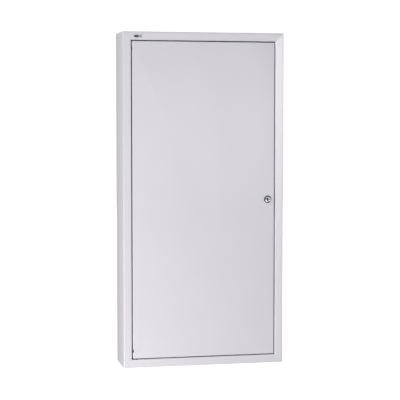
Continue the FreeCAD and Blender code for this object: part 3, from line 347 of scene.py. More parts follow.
def oblong(x, z, y, soft, ease):
    """A rectangle at one y, x and z being half its sides, with corners of radius soft."""
    corners = rounded([(-x, -z, soft), (x, -z, soft), (x, z, soft), (-x, z, soft)], ease)
    return [(px, y, pz) for px, pz in corners]


def turned(points, ease, where=UP, steps=72):
    """A lathe of (radius, height, corner radius) in millimetres; each corner is an arc of ease steps."""
    return lathe([(x * MM, y * MM) for x, y in rounded(points, ease)], where, steps)


def plug(radius, low, high, where):
    """A cylinder from low to high, to add or to cut with."""
    return lathe([(0, low), (radius, low), (radius, high), (0, high)], where)


def prism(outline, low, high, where=UP):
    """Pushes a 2-D outline along Z from low to high."""
    bm = skin([[(x, y, low) for x, y in outline], [(x, y, high) for x, y in outline]])
    bm.transform(where)
    return bm


def block(low, high, soft=0.0):
    """A box between two corners, its edges softened."""
    outline = [(low[0], low[1]), (high[0], low[1]), (high[0], high[1]), (low[0], high[1])]
    bm = prism(outline, low[2], high[2])
    if soft:
        bmesh.ops.bevel(bm, geom=list(bm.edges), offset=soft, segments=2, profile=0.7, affect="EDGES")
    return bm


def ribbon(line, thick, width, where=UP):
    """A strip of sheet: a 2-D centreline given a thickness, and a width along Z."""
    sides = ([], [])
    for i, (x, y) in enumerate(line):
        ahead = Vector(line[min(i + 1, len(line) - 1)]) - Vector(line[i])
        behind = Vector(line[i]) - Vector(line[max(i - 1, 0)])
        along = (ahead.normalized() + behind.normalized()).normalized()
        across = Vector((-along.y, along.x)) * thick / 2
        sides[0].append((x + across.x, y + across.y))
        sides[1].append((x - across.x, y - across.y))
    return prism(sides[0] + sides[1][::-1], -width / 2, width / 2, where)


def merged(*parts):
    """Several meshes as one, left as they are."""
    out = bmesh.new()
    for part in parts:
        mesh = bpy.data.meshes.new("part")
        part.to_mesh(mesh)
        out.from_mesh(mesh)
        bpy.data.meshes.remove(mesh)
        part.free()
    return out


def linked(name, bm):
    """A new object in the scene, with bm as its mesh."""
    mesh = bpy.data.meshes.new(name)
    bm.to_mesh(mesh)
    bm.free()
    obj = bpy.data.objects.new(name, mesh)
    bpy.context.scene.collection.objects.link(obj)
    return obj


def evaluated(bm, set_up):
    """The mesh after modifiers: set_up(object) adds them, and may return helper objects to remove."""
    obj = linked("work", bm)
    helpers = set_up(obj) or []
    bpy.context.view_layer.update()
    done = obj.evaluated_get(bpy.context.evaluated_depsgraph_get())
    result = bpy.data.meshes.new_from_object(done)
    out = bmesh.new()
    out.from_mesh(result)
    for thing in [obj, *helpers]:
        bpy.data.objects.remove(thing)
    bpy.data.meshes.remove(result)
    return out


def carved(bm, *tools, operation="DIFFERENCE"):
    """bm with the tools taken out of it, or kept only inside them, or joined on."""

    def set_up(obj):
        helpers = [linked("tool", tool) for tool in tools]
        for helper in helpers:
            modifier = obj.modifiers.new("carve", "BOOLEAN")
            modifier.operation, modifier.solver, modifier.object = operation, "EXACT", helper
        return helpers

    return evaluated(bm, set_up)


def melted(bm, grid, passes):
    """Overlapping solids run together like a casting, with a fillet wherever two of them meet."""

    def set_up(obj):
        remesh = obj.modifiers.new("melt", "REMESH")
        remesh.mode = "VOXEL"
        remesh.voxel_size = grid
        smooth = obj.modifiers.new("soften", "SMOOTH")
        smooth.factor = 0.5
        smooth.iterations = passes

    return evaluated(bm, set_up)


def add_piece(name, bm, replaces, finish=None, sharp=32.0, body=None, slot=None):
    """Makes the object: it stands for the CAD nodes in replaces and rides on the first one's body."""
    bmesh.ops.remove_doubles(bm, verts=bm.verts, dist=1e-7)
    obj = linked(name, bm)
    obj.data.shade_smooth()
    obj.data.set_sharp_from_angle(angle=math.radians(sharp))
    key = slot or SLOT_OF[replaces[0]]
    obj.data.materials.append(FINISH[finish or key])
    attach(obj, body or BODY_OF[replaces[0]])
    if replaces:
        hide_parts(*replaces)
    print(f"made {name}: {len(obj.data.polygons)} faces")
    return obj


def middle(node):
    low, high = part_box(node)
    return (low + high) / 2


# %% [markdown]
# ## The folded case
# Each side is one strip of 1.5 mm sheet: the wall, a front border, a return into the case that the door shuts
# against, and a rear flange for the back panel. A press brake leaves a 2.5 mm radius outside each bend. The
# border leans in by three degrees or so, so it catches the light differently from the door. The four strips
# are cut at 45 degrees and welded, and a hair-fine line stays where they meet.

# %% The folded case
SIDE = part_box("right_side_profile")[1].x
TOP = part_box("top_profile")[1].z
FRONT = -140 * MM
FALL = 1.5 * MM
BORDER = 25 * MM
SHEET = 1.5 * MM
JAMB_DEEP = 26 * MM
FLANGE = 18 * MM
JOINT_LINE = 0.09 * MM


def case_outline(reach):
    rear = -SHEET
    inner = reach - BORDER
    jamb = FRONT + JAMB_DEEP
    flange = reach - FLANGE
    return rounded(
        [
            (reach, FRONT, 2.5 * MM),
            (reach, rear, 2.5 * MM),
            (flange, rear, 0),
            (flange, rear - SHEET, 0),
            (reach - SHEET, rear - SHEET, 1.0 * MM),
            (reach - SHEET, FRONT + SHEET, 1.0 * MM),
            (inner + SHEET, FRONT + FALL + SHEET, 1.0 * MM),
            (inner + SHEET, jamb, 0.4 * MM),
            (inner, jamb, 0.4 * MM),
            (inner, FRONT + FALL, 2.5 * MM),
        ]
    )


def mitred(reach, half, turn):
    """One side, drawn with its wall at +X and its length along Z, then turned into place."""
    outline = case_outline(reach)
    rings = []
    for k in range(9):
        part = k / 4 - 1
        rings.append([(x, y, part * (half - (reach - x) - JOINT_LINE)) for x, y in outline])
    bm = skin(rings)
    bm.transform(turn)
    return bm


pivot = middle("lower_pivot_pin")
lock = middle("lock_housing")


def on_pivot(z):
    return spot(pivot.x, pivot.y, z)


slot_cut = block((SIDE - 27 * MM, FRONT + 4.5 * MM, -30 * MM), (SIDE - 22 * MM, FRONT + 21.5 * MM, 30 * MM))
right_side = carved(mitred(SIDE, TOP, UP), slot_cut)
add_piece("right_side", right_side, ["right_side_profile"])
add_piece("left_side", mitred(SIDE, TOP, Matrix.Rotation(math.pi, 4, "Y")), ["left_side_profile"])
top_hole = plug(4 * MM, 470 * MM, 480 * MM, on_pivot(0))
low_hole = plug(3 * MM, -480 * MM, -470 * MM, on_pivot(0))
top_bar = mitred(TOP, SIDE, Matrix.Rotation(math.radians(-90), 4, "Y"))
low_bar = mitred(TOP, SIDE, Matrix.Rotation(math.radians(90), 4, "Y"))
add_piece("top_side", carved(top_bar, top_hole), ["top_profile"])
add_piece("bottom_side", carved(low_bar, low_hole), ["bottom_profile"])

# %% [markdown]
# ## The back panel and its fittings
# A flat sheet spot-welded onto the rear flanges, with four fixing holes and a large one for the pipe, which
# has a rubber grommet. Round holes leave a slightly broken edge, so the sheet gets a tiny bevel all round.
# The stop tabs are welded to the jamb and carry a rubber buffer each.

# %% The back panel and its fittings
panel_low, panel_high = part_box("back_panel")
elbow = middle("riser_pipe").x, middle("inlet_grommet").z
FIXINGS = [(x * MM, z * MM) for x in (-180, 180) for z in (-450, 450)]
holes = [plug(4.5 * MM, -10 * MM, 10 * MM, spot(x, 0, z, TO_WALL)) for x, z in FIXINGS]
holes.append(plug(40 * MM, -10 * MM, 10 * MM, spot(elbow[0], 0, elbow[1], TO_WALL)))
add_piece("back_panel_skin", carved(block(panel_low, panel_high, 0.2 * MM), *holes), ["back_panel"])

grommet = [
    (37.5, 0.0), (39.9, 0.0), (40.0, 1.5), (44.4, 1.6), (45.0, 2.4), (44.6, 3.5), (42.0, 4.0), (38.2, 3.8)
]
profile = [(r * MM, z * MM) for r, z in grommet] + [(37.5 * MM, 3.0 * MM)]
add_piece("pipe_grommet", lathe(profile, spot(elbow[0], 0, elbow[1], TO_ROOM)), ["inlet_grommet"])

tabs, buffers = [], []
for sign in (1, -1):
    low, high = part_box("door_stop_tabs")
    ends = sorted((sign * 453 * MM, sign * high.z))
    tabs.append(block((low.x, low.y, ends[0]), (high.x, high.y, ends[1]), 0.3 * MM))
    low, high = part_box("door_buffers")
    pad = [(0, 0), (4.6, 0), (5.3, 0.5), (5.5, 1.4), (5.5, 5.2), (0, 5.2)]
    pad = [(r * MM, z * MM) for r, z in pad]
    buffers.append(lathe(pad, spot((low.x + high.x) / 2, low.y, sign * (high.z - 5.5 * MM), TO_WALL), 40))
add_piece("stop_tabs", merged(*tabs), ["door_stop_tabs"])
add_piece("stop_buffers", merged(*buffers), ["door_buffers"])

# %% [markdown]
# ## The name plate
# A small pressed plate glued to the top border. Its rim stands up round two plain printed fields, one dark
# and one grey, with nothing written on them.

# %% The name plate
PLATE_WIDE, PLATE_HIGH, PLATE_THICK = 28 * MM, 11 * MM, 0.9 * MM
BORDER_LEAN = Matrix.Rotation(math.atan(FALL / BORDER), 4, "X")
on_border = Matrix.Translation(middle("name_plate")) @ BORDER_LEAN


def plate_ring(inset, y, radius):
    """The plate's outline, stepped in from its edge; y is from the plate's middle, all in millimetres."""
    return oblong(PLATE_WIDE / 2 - inset * MM, PLATE_HIGH / 2 - inset * MM, y * MM, radius * MM, 6)


face = -PLATE_THICK / 2 / MM
steps = [(0, -face, 1.2), (0, face + 0.35, 1.2), (0.12, face + 0.1, 1.1), (0.4, face, 0.9)]
steps += [(0.8, face, 0.7), (1.15, face + 0.12, 0.5), (1.3, face + 0.28, 0.4)]
pressing = skin([plate_ring(*step) for step in steps])
pressing.transform(on_border)
add_piece("plate_pressing", pressing, ["name_plate"])
FIELDS = (("plate_dark_field", -11.8, 2.4, "dark_field"), ("plate_grey_field", 3.4, 11.4, "grey_field"))
for name, left, right, finish in FIELDS:
    tall = PLATE_HIGH / 2 - 2.2 * MM
    deep = (face + 0.16) * MM
    field = block((left * MM, deep, -tall), (right * MM, deep + 0.3 * MM, tall), 0.05 * MM)
    field.transform(on_border)
    add_piece(name, field, [], finish, body="case", slot="anodised_plate")

# %% [markdown]
# ## The door
# One sheet folded into a shallow tray. The edges are bent back 20 mm and then turned in by 14 mm, which
# stiffens a large face and hides the raw edge. Rings of points that follow the fold from the face, round each
# bend and back along the inside give every radius its own highlight. Cut into it are the lock's hole, the
# pins' holes, the cam's slot and the two notches that the door hangs by while it is painted.

# %% The door
door_low, door_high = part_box("door_panel")
DOOR_SHEET = 1.25 * MM
BEND = 1.6 * MM


def door_ring(inset, y, corner):
    return oblong(door_high.x - inset, door_high.z - inset, y, max(corner, 0.05 * MM), 5)


def door_shell():
    front, back = door_low.y, door_high.y
    rings = []
    for k in range(7):
        a = math.radians(90 * k / 6)
        inset = BEND * (1 - math.sin(a))
        rings.append(door_ring(inset, front + BEND * (1 - math.cos(a)), BEND - inset))
    for k in range(7):
        a = math.radians(90 * k / 6)
        inset = BEND * (1 - math.cos(a))
        rings.append(door_ring(inset, back - BEND * (1 - math.sin(a)), BEND - inset))
    inner = 0.4 * MM
    for inset, y in ((14 * MM, back), (14 * MM, back - DOOR_SHEET), (DOOR_SHEET + inner, back - DOOR_SHEET)):
        rings.append(door_ring(inset, y, 0))
    rings.append(door_ring(DOOR_SHEET, back - DOOR_SHEET - inner, 0))
    rings.append(door_ring(DOOR_SHEET, front + DOOR_SHEET + inner, 0))
    rings.append(door_ring(DOOR_SHEET + inner, front + DOOR_SHEET, 0))
    return skin(rings)


edge = door_high.x
cuts = [plug(9.48 * MM, -8 * MM, 8 * MM, spot(lock.x, door_low.y, 0, TO_WALL))]
cuts.append(plug(3.08 * MM, -500 * MM, 500 * MM, on_pivot(0)))
cuts.append(
    block((edge - 3 * MM, door_high.y - 9.5 * MM, -33 * MM), (edge + 3 * MM, door_high.y - 2.5 * MM, 33 * MM))
)
for sign in (1, -1):
    z = sign * (door_high.z - 23 * MM)
    low = (door_low.x - 3 * MM, door_low.y - 3 * MM, z - 4 * MM)
    cuts.append(block(low, (door_low.x + 2.2 * MM, door_low.y + 12 * MM, z + 4 * MM)))
add_piece("door_skin", carved(door_shell(), *cuts), ["door_panel"], sharp=25)

# %% [markdown]
# ## The door's ribs
# Two hat sections stop the face drumming. Each is a strip bent four times, spot-welded through its feet, so
# the weld marks are set out along it at one pitch. Setting out equal marks at one pitch is a rule, so a small
# node group does it: a line of points, and a low disc on each.

# %% The door's ribs


def node_group(name, **sockets):
    """A geometry node group whose inputs are each (kind, default); returns it and what its inputs give."""
    group = bpy.data.node_groups.new(name, "GeometryNodeTree")
    for label, (kind, default) in sockets.items():
        made = group.interface.new_socket(label, in_out="INPUT", socket_type=f"NodeSocket{kind}")
        if default is not None:
            made.default_value = default
    group.interface.new_socket("Geometry", in_out="OUTPUT", socket_type="NodeSocketGeometry")
    return group, group.nodes.new("NodeGroupInput").outputs


def geo(group, kind, out=0, **values):
    """An output of a new geometry node. An underscore in a socket's name stands for a space."""
    named = {socket.replace("_", " "): value for socket, value in values.items()}
    return put(group, "GeometryNode" + kind, named).outputs[out]


def closed(group, geometry, finish):
    """Ends a group: instances become mesh, shaded smooth, with one finish."""
    smooth = geo(group, "SetShadeSmooth", Geometry=geo(group, "RealizeInstances", Geometry=geometry))
    painted = geo(group, "SetMaterial", Geometry=smooth, Material=FINISH[finish])
    group.links.new(painted, group.nodes.new("NodeGroupOutput").inputs[0])
    return group


def grown(group, values):
    """Runs a node group once and returns what it made as a mesh to build on."""

    def set_up(obj):
        modifier = obj.modifiers.new("grow", "NODES")
        modifier.node_group = group
        for item in group.interface.items_tree:
            if item.in_out == "INPUT" and item.name in values:
                modifier[item.identifier] = values[item.name]

    return evaluated(bmesh.new(), set_up)


LAID_DOWN = (math.pi / 2, 0, 0)


def row_group():
    """A short cylinder repeated in a row along Z."""
    sizes = {"Pitch": ("Float", 0.1), "Radius": ("Float", 0.002), "Height": ("Float", 0.0003)}
    group, given = node_group("row_of_marks", Count=("Int", 5), **sizes)
    step = put(group, "ShaderNodeCombineXYZ", {"Z": given["Pitch"]}).outputs[0]
    line = geo(group, "MeshLine", Count=given["Count"], Offset=step)
    mark = geo(group, "MeshCylinder", Vertices=20, Radius=given["Radius"], Depth=given["Height"])
    laid = geo(group, "Transform", Geometry=mark, Rotation=LAID_DOWN)
    return closed(group, geo(group, "InstanceOnPoints", Points=line, Instance=laid), "grey_powder_coat")


MARKS = row_group()
WELD_PITCH = 105 * 0.98 * MM
for name, short in (("door_rib_left", "rib_left"), ("door_rib_right", "rib_right")):
    low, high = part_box(name)
    x = (low.x + high.x) / 2
    length = high.z - low.z
    foot, wall, crown = 34 * MM, 22 * MM, high.y - DOOR_SHEET / 2
    base = low.y + DOOR_SHEET / 2
    bend = [
        (-foot, base), (-wall - 0.6 * MM, base), (-wall + 0.45 * MM, base + 0.9 * MM),
        (-wall + 0.62 * MM, base + 2 * MM)
    ]
    bend += [
        (-wall + 0.62 * MM, crown - 1.6 * MM), (-wall + 1.1 * MM, crown - 0.45 * MM),
        (-wall + 2.2 * MM, crown)
    ]
    line = bend + [(-px, py) for px, py in reversed(bend)]
    hat = ribbon(line, DOOR_SHEET, length, spot(x, 0, 0))
    marks = []
    for side in (-1, 1):
        row = grown(MARKS, {"Count": 9, "Pitch": WELD_PITCH, "Radius": 2.4 * MM, "Height": 0.3 * MM})
        row.transform(spot(x + side * 28 * MM, low.y + DOOR_SHEET, -4 * WELD_PITCH))
        marks.append(row)
    add_piece(short, merged(hat, *marks), [name])

# %% [markdown]
# ## The lock
# A cylinder cam lock: a chromed housing with a raised, rolled lip, and a plug that turns in it. The lip falls
# away inside to a polished cone, which is what shows as a bright crescent round the plug. The keyway is a
# slot with a round drilling at its middle, cut down into the plug.

# %% The lock
lock_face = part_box("door_panel")[0].y
at_lock = spot(lock.x, lock_face, 0, TO_ROOM)
PROUD = 2.4

housing = [
    (6.68, -14.0, 0), (9.4, -14.0, 0.3), (9.4, 0.0, 0), (10.9, 0.0, 0.2), (11.0, 0.9, 0.3),
    (10.2, PROUD, 0.8), (8.9, PROUD, 0.5), (7.3, 0.95, 0.3), (6.68, 0.95, 0.1)
]


def second_finish(obj, finish, radii, front):
    """Gives another finish to the faces between two radii from the lock's axis and behind y = front."""
    obj.data.materials.append(FINISH[finish])
    for face in obj.data.polygons:
        radius = math.hypot(face.center.x - lock.x, face.center.z)
        if radii[0] < radius < radii[1] and face.center.y > front:
            face.material_index = 1


body = add_piece("lock_body", turned(housing, 5, at_lock, 96), ["lock_housing"], sharp=40)
RIM_PAINTED_REFLECTION, KEYHOLE_PAINTED_SHADE = (8.4 * MM, 12 * MM), (0, 3.45 * MM)
# Painted reflection: the rim's outer bevel gets a dark finish that stands in for dark surroundings mirrored in
# the chrome.
second_finish(body, "black_nickel", RIM_PAINTED_REFLECTION, lock_face - 3 * MM)

core = [(0.0, -14.0, 0), (6.6, -14.0, 0.2), (6.6, 1.2, 0.5), (5.2, 1.45, 1.0), (3.5, 1.46, 0.1)]
core += [(3.1, 1.0, 0.2), (0.0, 1.0, 0)]
core_mesh = turned(core, 5, at_lock, 96)
keyway = block(
    (lock.x - 0.9 * MM, lock_face - 4 * MM, -4 * MM), (lock.x + 0.9 * MM, lock_face + 9.8 * MM, 4 * MM)
)
drill = plug(2.4 * MM, -9.8 * MM, 4.0 * MM, at_lock)
plug_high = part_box("lock_plug")[1]
half = 3.5 * MM
tail = block((lock.x - half, plug_high.y - 3 * MM, -half), (lock.x + half, plug_high.y, half), 0.25 * MM)
core_cut = carved(core_mesh, keyway, drill)
core = add_piece("lock_core", merged(core_cut, tail), ["lock_plug"], sharp=40)
# Painted shade: the faces round the keyway get a dark finish that stands in for the shade inside it.
second_finish(core, "blackened_steel", KEYHOLE_PAINTED_SHADE, lock_face - PROUD * MM)


def hex_nut(half, low, high, bore, where):
    """A hexagon with its corners turned off at 30 degrees, and a countersunk hole."""
    corner = half * 2 / math.sqrt(3)
    six = [(corner * math.cos(math.pi * k / 3), corner * math.sin(math.pi * k / 3)) for k in range(6)]
    drop = (corner - half) * 0.55
    chamfer = [
        (0, low), (half * 0.96, low), (corner, low + drop), (corner, high - drop), (half * 0.96, high),
        (0, high)
    ]
    bm = carved(prism(six, low, high), lathe(chamfer, UP, 60), operation="INTERSECT")
    if bore:
        sink = 0.06 * half
        tool = [(0, low - 1 * MM), (bore + sink, low - 1 * MM), (bore + sink, low), (bore, low + sink)]
        tool += [(bore, high - sink), (bore + sink, high), (bore + sink, high + 1 * MM), (0, high + 1 * MM)]
        bm = carved(bm, lathe(tool, UP, 48))
    bm.transform(where)
    return bm


nut_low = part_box("lock_nut")[0]
add_piece(
    "lock_ring_nut", hex_nut(12 * MM, 0, 3.5 * MM, 9.4 * MM, spot(lock.x, nut_low.y, 0, TO_WALL)),
    ["lock_nut"]
)

cam_low, cam_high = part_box("lock_cam")
arc = [(8 * math.sin(math.radians(a)), 8 * math.cos(math.radians(a))) for a in range(-115, 116, 10)]
tip = [(7 * math.cos(math.radians(a)), -27 - 7 * math.sin(math.radians(a))) for a in range(0, 181, 12)]
cam_line = [(px * MM, py * MM) for px, py in arc + tip]
cam = prism([(px, -py) for px, py in cam_line], 0, 2 * MM, spot(lock.x, cam_low.y, 0, TO_WALL))
square = block(
    (lock.x - 3.55 * MM, cam_low.y - 1 * MM, -3.55 * MM), (lock.x + 3.55 * MM, cam_high.y + 1 * MM, 3.55 * MM)
)
cam = carved(cam, square)
bmesh.ops.bevel(
    cam, geom=[e for e in cam.edges if e.calc_face_angle(0) > 1.0], offset=0.2 * MM, segments=2,
    affect="EDGES"
)
add_piece("lock_tongue", cam, ["lock_cam"])
washer = [(2.7, 0, 0.1), (5.6, 0, 0.2), (5.6, 1.0, 0.2), (2.7, 1.0, 0.1)]
add_piece("tongue_washer", turned(washer, 3, spot(lock.x, cam_high.y, 0, TO_WALL)), ["cam_washer"])
screw_low, screw_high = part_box("cam_screw")
head = hex_nut(4 * MM, 0, 3.2 * MM, 0, spot(lock.x, screw_high.y - 3.2 * MM, 0, TO_WALL))
shank = plug(
    2.4 * MM, screw_low.y - screw_high.y + 3.2 * MM, 0.5 * MM,
    spot(lock.x, screw_high.y - 3.2 * MM, 0, TO_WALL)
)
add_piece("tongue_screw", merged(head, shank), ["cam_screw"])

# %% [markdown]
# ## The pivots
# The door turns on two 6 mm pins. The lower one is riveted into the jamb and carries the door on a nylon
# washer. The upper one is sprung: pulled down by its knob, it leaves the nylon bush and frees the door. The
# spring is drawn steel wire, coiled by a node group, so turns and wire size are plain inputs.

# %% The pivots
pin_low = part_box("lower_pivot_pin")[0]
rivet = [
    (0, 0, 0), (3.2, 0, 0.6), (4.3, 0.9, 0.6), (4.3, 1.4, 0.1), (3.7, 2.0, 0.1), (3.0, 2.0, 0),
    (3.0, 14.0, 0.6), (2.3, 14.7, 0.2), (0, 14.75, 0)
]
add_piece("pivot_rivet", turned(rivet, 4, on_pivot(pin_low.z), 48), ["lower_pivot_pin"])
low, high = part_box("lower_pivot_washer")
ring = [(3.08, 0, 0.2), (6.5, 0, 0.4), (6.5, (high.z - low.z) / MM, 0.4), (3.08, (high.z - low.z) / MM, 0.2)]
add_piece("pivot_washer", turned(ring, 4, on_pivot(low.z), 48), ["lower_pivot_washer"])
low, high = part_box("lower_pivot_plate")
plate = carved(block(low, high, 0.4 * MM), plug(3.08 * MM, -0.5, 0.5, on_pivot(0)))
add_piece("pivot_plate", plate, ["lower_pivot_plate"])
low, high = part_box("upper_pivot_bush")
bush = [(3.08, 0, 0.3), (6.0, 0, 0.4), (6.0, 1.5, 0.2), (4.0, 1.5, 0), (4.0, 4.5, 0.4), (3.08, 4.5, 0.2)]
add_piece("pivot_bush", turned(bush, 4, on_pivot(low.z), 48), ["upper_pivot_bush"])

low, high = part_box("release_pin_guide")
bent = [(high.x, low.z + 1 * MM), (low.x + 3.2 * MM, low.z + 1 * MM), (low.x + 1.6 * MM, low.z + 1.6 * MM)]
bent += [(low.x + 1 * MM, low.z + 3.2 * MM), (low.x + 1 * MM, high.z)]
across = Matrix.Translation(Vector((0, (low.y + high.y) / 2, 0))) @ TO_ROOM
guide = ribbon([(px, pz) for px, pz in bent], 2 * MM, high.y - low.y, across)
guide = carved(guide, plug(3.08 * MM, low.z - 4 * MM, low.z + 4 * MM, on_pivot(0)))
add_piece("pin_guide", guide, ["release_pin_guide"])

low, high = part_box("release_pin")
bottom, top = low.z / MM, high.z / MM
grip = [(0, bottom, 0), (4.2, bottom, 0.6), (5, bottom + 0.9, 0.4)]
for k in range(4):
    z = bottom + 2.6 + 2.0 * k
    grip += [(5, z, 0.2), (4.4, z + 0.4, 0.3), (4.4, z + 0.8, 0.3), (5, z + 1.2, 0.2)]
grip += [(5, bottom + 11.1, 0.4), (4.2, bottom + 12, 0.4), (3, bottom + 12, 0)]
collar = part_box("release_pin_spring")[1].z / MM
grip += [(3, collar, 0), (4.8, collar, 0.3), (4.8, collar + 2, 0.3), (3, collar + 2, 0)]
grip += [(3, top - 1.2, 0.5), (1.9, top, 0.3), (0, top, 0)]
add_piece("sprung_pin", turned(grip, 3, on_pivot(0), 48), ["release_pin"])


def spring_group():
    """Wire coiled along Z."""
    sizes = {"Radius": ("Float", 0.004), "Length": ("Float", 0.02), "Wire": ("Float", 0.0005)}
    group, given = node_group("wire_spring", Turns=("Float", 8.0), **sizes)
    radii = {"Start_Radius": given["Radius"], "End_Radius": given["Radius"]}
    coil = geo(group, "CurveSpiral", Resolution=40, Rotations=given["Turns"], Height=given["Length"], **radii)
    wire = geo(group, "CurvePrimitiveCircle", Resolution=12, Radius=given["Wire"])
    made = geo(group, "CurveToMesh", Curve=coil, Profile_Curve=wire, Fill_Caps=True)
    return closed(group, made, "zinc_plated_steel")


low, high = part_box("release_pin_spring")
wire = 0.45 * MM
spring = grown(
    spring_group(), {"Turns": 8.0, "Radius": 4.5 * MM, "Length": high.z - low.z - 2 * wire, "Wire": wire}
)
spring.transform(on_pivot(low.z + wire))
spring = add_piece("pin_spring", spring, ["release_pin_spring"], sharp=60)
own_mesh(spring)

# %% [markdown]
# ## Pipe clamps
# Each riser clamp is a pair of pressed bands lined with rubber, screwed together through their ears and held
# off the back panel by a stud in a short rail. The bands are strips that follow the pipe and turn out into
# the ears. Nuts and screws repeat by rule, so a node group sets one out on a grid of points.

# %% Pipe clamps
pipe = middle("riser_pipe")


def on_pipe(z, turn=UP):
    return spot(pipe.x, pipe.y, z, turn)


CLAMP_Z = (-205 * MM, -35 * MM)
OUTER = 34.65 * MM


def clamp_line():
    """Centreline of one band half, ears included, in the plane across the pipe."""
    r, y = OUTER - 1.25 * MM, 1.75 * MM
    start = math.asin(y / r)
    line = [(-OUTER - 20 * MM, y), (-r - 1.6 * MM, y), (-r - 0.5 * MM, y + 0.5 * MM)]
    for k in range(1, 40):
        a = math.pi - start - (math.pi - 2 * start) * k / 40
        if 0.09 < a < math.pi - 0.09:
            line.append((r * math.cos(a), r * math.sin(a)))
    return line + [(r + 0.5 * MM, y + 0.5 * MM), (r + 1.6 * MM, y), (OUTER + 20 * MM, y)]


def edged(bm, width, angle=50):
    chosen = [e for e in bm.edges if len(e.link_faces) == 2 and e.calc_face_angle(0) > math.radians(angle)]
    bmesh.ops.bevel(bm, geom=chosen, offset=width, segments=2, profile=0.7, affect="EDGES")
    return bm


def grid_group():
    """A given mesh repeated on a grid in X and Z."""
    group, given = node_group(
        "set_out_on_grid", Part=("Object", None), Across=("Float", 0.1), Up=("Float", 0.1)
    )
    grid = geo(group, "MeshGrid", Size_X=given["Across"], Size_Y=given["Up"], Vertices_X=2, Vertices_Y=2)
    upright = geo(group, "Transform", Geometry=grid, Rotation=LAID_DOWN)
    part = geo(group, "ObjectInfo", "Geometry", Object=given["Part"])
    return closed(group, geo(group, "InstanceOnPoints", Points=upright, Instance=part), "zinc_plated_steel")


GRID = grid_group()


def set_out(bm, across, up, where):
    """bm repeated at the four corners of a grid."""
    single = linked("single", bm)
    out = grown(GRID, {"Part": single, "Across": across, "Up": up})
    bpy.data.objects.remove(single)
    out.transform(where)
    return out


rails, rears, fronts, linings, studs, stud_nuts = [], [], [], [], [], []
for z in CLAMP_Z:
    low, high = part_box("clamp_rails")
    face_y, sheet, deep = low.y, 2 * MM, high.y
    top, base = z + 20.5 * MM, z - 20.5 * MM
    u = [
        (deep, base + 1 * MM), (face_y + 2.6 * MM, base + 1 * MM), (face_y + 1.4 * MM, base + 1.5 * MM),
        (face_y + 1 * MM, base + 2.8 * MM)
    ]
    u = [(py, pz) for py, pz in u] + [(py, 2 * z - pz) for py, pz in reversed(u)]
    turn = Matrix(((0, 0, 1, 0), (1, 0, 0, 0), (0, 1, 0, 0), (0, 0, 0, 1)))
    rail = ribbon(u, sheet, high.x - low.x, Matrix.Translation(Vector(((low.x + high.x) / 2, 0, 0))) @ turn)
    rails.append(edged(rail, 0.25 * MM))
    rears.append(edged(ribbon(clamp_line(), 2.5 * MM, 25 * MM, on_pipe(z)), 0.4 * MM))
    fronts.append(
        edged(ribbon(clamp_line(), 2.5 * MM, 25 * MM, on_pipe(z, Matrix.Rotation(math.pi, 4, "X"))), 0.4 * MM)
    )
    back = pipe.y + OUTER
    rears.append(hex_nut(6.5 * MM, 0, 5.2 * MM, 0, spot(pipe.x, back - 0.2 * MM, z, TO_WALL)))
    lining = [(30.15, -12.4, 0.2), (32.15, -12.4, 0.5), (32.15, 12.4, 0.5), (30.15, 12.4, 0.2)]
    linings.append(turned(lining, 3, on_pipe(z), 96))
    studs.append(plug(3.98 * MM, 0, 17.8 * MM, spot(pipe.x, back, z, TO_WALL)))
    for y, thick in ((face_y - 4 * MM, 4 * MM), (face_y + 2 * MM, 5 * MM)):
        stud_nuts.append(hex_nut(6.5 * MM, 0, thick, 4 * MM, spot(pipe.x, y, z, TO_WALL)))
add_piece("riser_rails", merged(*rails), ["clamp_rails"])
add_piece("bands_rear", merged(*rears), ["clamp_rear_halves"])
add_piece("bands_front", merged(*fronts), ["clamp_front_halves"])
add_piece("band_linings", merged(*linings), ["clamp_linings"])
add_piece("band_studs", merged(*studs), ["clamp_studs"])
add_piece("stud_nuts", merged(*stud_nuts), ["clamp_stud_nuts"])

ear_x = OUTER + 10 * MM
grid_at = on_pipe(sum(CLAMP_Z) / 2)
button = [
    (0, -3.5, 0), (3.2, -3.5, 1.2), (5.1, -2.2, 1.0), (5.1, 0, 0.1), (3.0, 0, 0), (3.0, 13.5, 0.5),
    (2.6, 14, 0.1), (0, 14, 0)
]
screw = turned(button, 4, TO_WALL, 40)
hexagon = [(x, y) for x, y, _ in circle(1.73 * MM, 0, 6)]
socket = prism(hexagon, -4 * MM, -1.7 * MM, TO_WALL)
screw = carved(screw, socket)
screw.transform(Matrix.Translation(Vector((0, -3 * MM, 0))))
add_piece("ear_screws", set_out(screw, 2 * ear_x, CLAMP_Z[1] - CLAMP_Z[0], grid_at), ["clamp_screws"])
nut = hex_nut(5 * MM, 0, 5 * MM, 3 * MM, spot(0, 3 * MM, 0, TO_WALL))
add_piece("ear_nuts", set_out(nut, 2 * ear_x, CLAMP_Z[1] - CLAMP_Z[0], grid_at), ["clamp_screw_nuts"])

# %% [markdown]
# ## The elbow and the riser
# The elbow is a casting: two beaded collars joined by a quarter bend. Built as overlapping rings and then
# melted together, it gets the fillets that a sand mould needs. The riser is drawn tube, painted before it was
# fitted, and a little thinner for 18 mm at each end, where it was threaded.

# %% The elbow and the riser
bend = 35.5 * MM
elbow_z = elbow[1]


def bent_tube(outer, inner, steps=20):
    """A quarter ring from the wall up, with its bore."""
    rings = []
    for radius, order in ((outer, range(steps + 1)), (inner, range(steps, -1, -1))):
        for k in order:
            a = math.pi / 2 * k / steps
            centre = Vector((pipe.x, pipe.y + bend - bend * math.sin(a), elbow_z + bend - bend * math.cos(a)))
            out = Vector((0, math.sin(a), math.cos(a)))
            ring = []
            for i in range(64):
                b = 2 * math.pi * i / 64
                ring.append(tuple(centre + radius * (Vector((1, 0, 0)) * math.cos(b) - out * math.sin(b))))
            rings.append(ring)
    return skin(rings, closed=True)


